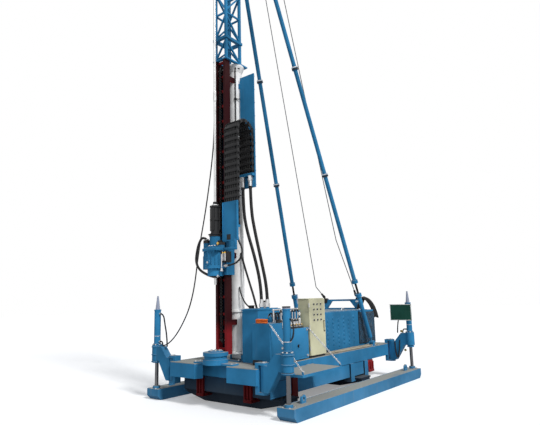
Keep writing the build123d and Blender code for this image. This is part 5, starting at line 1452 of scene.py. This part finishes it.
class RIG_OT_housing_fittings(bpy.types.Operator):
    """Makes the housing's pressings, lids, doors and mesh, and what hangs on the mast's saddle"""

    bl_idname = "rig.housing_fittings"
    bl_label = "Housing fittings"

    side_x = 750
    column_stations = range(2320, 3520, 200)
    row_low = 775
    row_pitch = 80
    mesh_x = 765
    mesh_stations = (3530, 4220)
    mesh_levels = (752, 1358)
    mesh_count = 26
    # A navy sheet behind the grilles: painted shade inside the housing
    mesh_sheet = ((748, 3530, 752), (754, 4220, 1358), NAVY, 0)
    lids = (
        ((-690, 2260, 1404), (690, 3140, 1420), BLUE, 0.004),
        ((-690, 3190, 1404), (690, 4050, 1420), BLUE, 0.004),
    )
    lid_handles = ((2320, 2450), (3250, 3380))

    # The right rear door, its handle, and the cap over the saddle's right pin
    right_slabs = (
        ((15, 4244, 708), (715, 4257, 1384), BLUE, 0.004),
        ((56, 4266, 960), (74, 4274, 1070), BLACK, 0.003),
        ((384, 4124, 1630), (436, 4176, 1672), BLACK, 0.006),
    )

    # The handle's boss and the saddle's right pin
    right_bars = (
        ((65, 4257, 1000), (65, 4268, 1000), 0.016, BRIGHT, 14),
        ((410, 4112, 1590), (410, 4188, 1590), 0.024, BRIGHT, 18),
    )
    saddle_bar = ((-400, 4105, 1612), (-400, 4195, 1612), 0.058, BLACK, 24)
    saddle_block = ((-470, 4128, 1560), (-330, 4172, 1640), BLACK, 0.010)
    bundle = (
        (470, 4100, 1440),
        (540, 4075, 1640),
        (620, 4075, 1690),
        (700, 4160, 1600),
        (752, 4250, 1420),
        (768, 4290, 1250),
    )
    bundle_shifts = (-30, 0, 26, 52)

    def pressings(self, rows):
        """Round pressings in the side sheets."""
        shape = Builder()
        shape.rod((0, 0, -0.002), (0, 0, 0.009), 0.034, BLUE, 12, 0.022)
        places = []
        for side in (-1, 1):
            for column, s in enumerate(self.column_stations):
                low = self.row_low + self.row_pitch / 2 * (column % 2)
                points = [(side * self.side_x, s, low + self.row_pitch * row) for row in range(rows)]
                places += spots(points, (side, 0, 0))
        placed(copies(shape.mesh("pressing"), places, BLUE), "housing_pressings", "chassis")

    def mesh(self):
        """Wires across the grilles, and a dark sheet behind them as painted shade inside the housing."""
        piece = Builder()
        near, far = self.mesh_stations
        low, high = self.mesh_levels
        wire = Builder()
        wire.rod((0, 0, 0), (0, 0, (far - near) / 1000), 0.0035, BLUE, 6)
        levels = [low + (high - low) * (i + 0.5) / self.mesh_count for i in range(self.mesh_count)]
        points = [(side * self.mesh_x, near, z) for side in (-1, 1) for z in levels]
        piece.take(copies(wire.mesh("wire"), spots(points, (0, 1, 0)), BLUE), BLUE)
        piece.slabs(both_sides([self.mesh_sheet]))
        piece.done("housing_mesh", "chassis", BLUE)

    def top(self):
        """Lids and rear doors with handles, and the pins, hoses and bar at the saddle."""
        piece = Builder()
        piece.slabs([*self.lids, self.saddle_block, *both_sides(self.right_slabs)])
        piece.bars([self.saddle_bar, *both_sides(self.right_bars)])
        for near, far in self.lid_handles:
            for x in (-520, 520):
                handle = ((x, near, 1418), (x, near, 1462), (x, far, 1462), (x, far, 1418))
                piece.hoses([(handle, 0.009, BRIGHT)])
        for shift in self.bundle_shifts:
            route = [(x + shift * 0.5, s + shift, z - abs(shift) * 0.4) for x, s, z in self.bundle]
            piece.hoses([(route, 0.021, RUBBER)])
        piece.done("housing_top", "chassis", BLUE)

    def execute(self, context):
        self.pressings(context.scene.rig_sizes.dimple_rows)
        self.mesh()
        self.top()
        return {"FINISHED"}


class RIG_OT_jack_fittings(bpy.types.Operator):
    """Makes the jacks' ports, hoses and caps, the sign's frame, the pontoons' welds and the claws' plates"""

    bl_idname = "rig.jack_fittings"
    bl_label = "Jack fittings"

    port_levels = (985, 1470)
    port_face = 54

    # The hoses from a jack's ports: how far in from its face, and the level
    port_hoses = (
        ((30, 1470), (110, 1460), (150, 1290), (210, 1080), (220, 903)),
        ((30, 985), (80, 991), (100, 940), (102, 903)),
    )
    sleeve_levels = (893, 760, 640)

    # The black cap of the front right jack
    cap_levels = (1562, 1580)

    # The hose on the front right jack, and the loop at the rear one
    front_hose = ((1504, 85, 1400), (1548, 85, 1392), (1576, 85, 1270), (1552, 85, 1120), (1504, 85, 1092))
    rear_hose = (
        (1130, 4404, 720),
        (1134, 4382, 640),
        (1160, 4378, 420),
        (1200, 4378, 400),
        (1236, 4384, 600),
        (1240, 4404, 760),
    )
    brass_ends = (
        ((1300, 4400, 947), (1300, 4372, 947), 0.020, BRASS),
        ((1362, 4402, 560), (1362, 4378, 560), 0.020, BRASS),
    )
    sign_rim = (
        ((1070, 4380, 1170), (1550, 4384, 1182), WHITE, 0.001),
        ((1070, 4380, 1498), (1550, 4384, 1510), WHITE, 0.001),
        ((1070, 4380, 1170), (1082, 4384, 1510), WHITE, 0.001),
        ((1538, 4380, 1170), (1550, 4384, 1510), WHITE, 0.001),
    )
    weld_side = 144

    # A front claw's plate, foot and three ribs, on the right, in red darkened as painted shade
    front_claw = (
        ((450, 273, 115), (610, 291, 430), SHADED_RED, 0.003),
        ((450, 243, 115), (610, 399, 161), SHADED_RED, 0.006),
        ((451, 251, 115), (477, 291, 400), SHADED_RED, 0.005),
        ((517, 251, 115), (543, 291, 400), SHADED_RED, 0.005),
        ((583, 251, 115), (609, 291, 400), SHADED_RED, 0.005),
    )

    # A rear claw's plate, foot and three ribs, on the right
    rear_claw = (
        ((949, 3415, 205), (967, 3640, 430), RED, 0.003),
        ((949, 3415, 205), (995, 3640, 249), RED, 0.006),
        ((949, 3415, 205), (987, 3451, 405), RED, 0.005),
        ((949, 3509.5, 205), (987, 3545.5, 405), RED, 0.005),
        ((949, 3604, 205), (987, 3640, 405), RED, 0.005),
    )
    # A navy strip as painted shadow under the deck's beam
    beam_seam = ((947, 300, 435), (952, 3640, 442), NAVY, 0)

    def jack(self, piece, side, station):
        """Ports, rings, hoses and the tip or cap of one jack."""
        x = side * JACK_X
        face = x - side * self.port_face
        for level in self.port_levels:
            piece.fittings([((face, station, level), (face - side * 34, station, level), 0.016, BRIGHT)])
        piece.bands((((x, station, 948), 58, 0.010, BLUE, 20), ((x, station, 1080), 58, 0.005, BRIGHT, 20)))
        if side > 0 and station == JACK_STATIONS[0]:
            foot, top = self.cap_levels
            piece.bars([((x, station, foot), (x, station, top), 0.062, PLASTIC, 32)])
            return
        piece.rod(at(x, station, 1545), at(x, station, 1784), 0.041, "pale_plastic", 28, 0.0145)
        for route in self.port_hoses:
            points = [(face - side * inward, station, level) for inward, level in route]
            piece.hoses([(points, 0.013, RUBBER)])

    def jacks(self):
        """The fittings of the four jacks and the hoses that hang at the right ones."""
        piece = Builder()
        for side in (-1, 1):
            for station in JACK_STATIONS:
                self.jack(piece, side, station)
            for level in self.sleeve_levels:
                piece.bands([((side * JACK_X, JACK_STATIONS[0], level), 89, 0.011, BLUE, 24)])
        piece.hoses([(self.front_hose, 0.012, RUBBER), (self.rear_hose, 0.013, RUBBER)])
        piece.fittings(self.brass_ends)
        piece.done("jack_fittings", "chassis", RUBBER)

    def sign(self):
        """A raised rim on the blank sign."""
        piece = Builder()
        piece.slabs(self.sign_rim)
        piece.done("sign_rim", "chassis", "green_paint")

    def welds(self, body, middle):
        """Weld beads along a pontoon's top edges."""
        piece = Builder()
        for x in (middle - self.weld_side, middle + self.weld_side):
            piece.bars([((x, 20, 184), (x, 4530, 184), 0.0045, BLUE, 8)])
        piece.done(body + "_welds", body, BLUE)

    def claws(self):
        """Ribbed red plates of the claws, and a dark strip that paints the shadow line between the deck's and
        the sub-frame's beams.
        """
        piece = Builder()
        piece.slabs(both_sides([*self.front_claw, *self.rear_claw, self.beam_seam]))
        piece.done("claw_plates", "chassis", RED)

    def execute(self, context):
        self.jacks()
        self.sign()
        self.welds("left_pontoon", -JACK_X)
        self.welds("right_pontoon", JACK_X)
        self.claws()
        return {"FINISHED"}


class RIG_OT_stay_fittings(bpy.types.Operator):
    """Makes the end rings of the stays' couplings, a bright one above and a black one below as painted
    highlight and shade
    """

    bl_idname = "rig.stay_fittings"
    bl_label = "Stay fittings"

    shares = (0.165, 0.398, 0.63)

    def execute(self, context):
        for body, side in (("left_stay", -1), ("right_stay", 1)):
            piece = Builder()
            mirror = Vector((side, 1, 1))
            top = at(*STAY_TOP) * mirror
            foot = at(*STAY_FOOT) * mirror
            axis = (foot - top).normalized()
            for share in self.shares:
                middle = top.lerp(foot, share)
                # Painted highlight and shade: the upper ring is bright steel, the lower one black
                piece.rod(middle - axis * 0.030, middle - axis * 0.012, 0.067, BRIGHT, 28)
                piece.rod(middle, middle + axis * 0.030, 0.066, BLACK, 28)
            piece.done(body + "_rings", body, BRIGHT)
        return {"FINISHED"}


class RIG_OT_deck_fittings(bpy.types.Operator):
    """Makes the service hoses that lie on the deck"""

    bl_idname = "rig.deck_fittings"
    bl_label = "Deck fittings"

    right_hoses = range(800, 944, 36)
    left_hoses = range(-800, -920, -40)

    def execute(self, context):
        piece = Builder()
        for i, x in enumerate(self.right_hoses):
            sway = 18 * (-1) ** i
            route = (
                (x - 20, 1960, 694),
                (x + sway, 2250, 697),
                (x + 14, 2700, 695),
                (x - sway, 3150, 697),
                (x + 6, 3600, 695),
                (x - 30, 3900 + 40 * i, 695),
                (x - 120, 4100 + 60 * i, 695),
            )
            piece.hoses([(route, 0.014, "pale_hose")])
        for x in self.left_hoses:
            sways = ((0, 700), (-12, 1200), (16, 1900), (-10, 2700), (10, 3500))
            piece.hoses([([(x + sway, s, 696) for sway, s in sways], 0.014, RUBBER)])
        piece.done("deck_hoses", "chassis", RUBBER)
        return {"FINISHED"}


class RIG_PT_panel(bpy.types.Panel):
    """Lists the steps that dress the rig"""

    bl_idname = "RIG_PT_panel"
    bl_label = "Jet grouting rig"
    bl_space_type = "VIEW_3D"
    bl_region_type = "UI"
    bl_category = "Rig"

    def draw(self, context):
        for step in STEPS:
            self.layout.operator(step.bl_idname)


STEPS = (
    RIG_OT_finishes,
    RIG_OT_stage,
    RIG_OT_cords,
    RIG_OT_drag_chain,
    RIG_OT_chains,
    RIG_OT_bolts,
    RIG_OT_mast_fittings,
    RIG_OT_head_fittings,
    RIG_OT_hydraulics,
    RIG_OT_cabinet_fittings,
    RIG_OT_housing_fittings,
    RIG_OT_jack_fittings,
    RIG_OT_stay_fittings,
    RIG_OT_deck_fittings,
)
CLASSES = (RigColours, RigSizes, *STEPS, RIG_PT_panel)


def register():
    """Registers the classes and the scene's settings."""
    for cls in CLASSES:
        bpy.utils.register_class(cls)
    bpy.types.Scene.rig_colours = PointerProperty(type=RigColours)
    bpy.types.Scene.rig_sizes = PointerProperty(type=RigSizes)


def unregister():
    """Removes the scene's settings and the classes."""
    del bpy.types.Scene.rig_sizes
    del bpy.types.Scene.rig_colours
    for cls in reversed(CLASSES):
        bpy.utils.unregister_class(cls)


def main():
    """Dresses the rig step by step."""
    register()
    for step in STEPS:
        group, name = step.bl_idname.split(".")
        getattr(getattr(bpy.ops, group), name)()


if __name__ == "__main__":
    main()
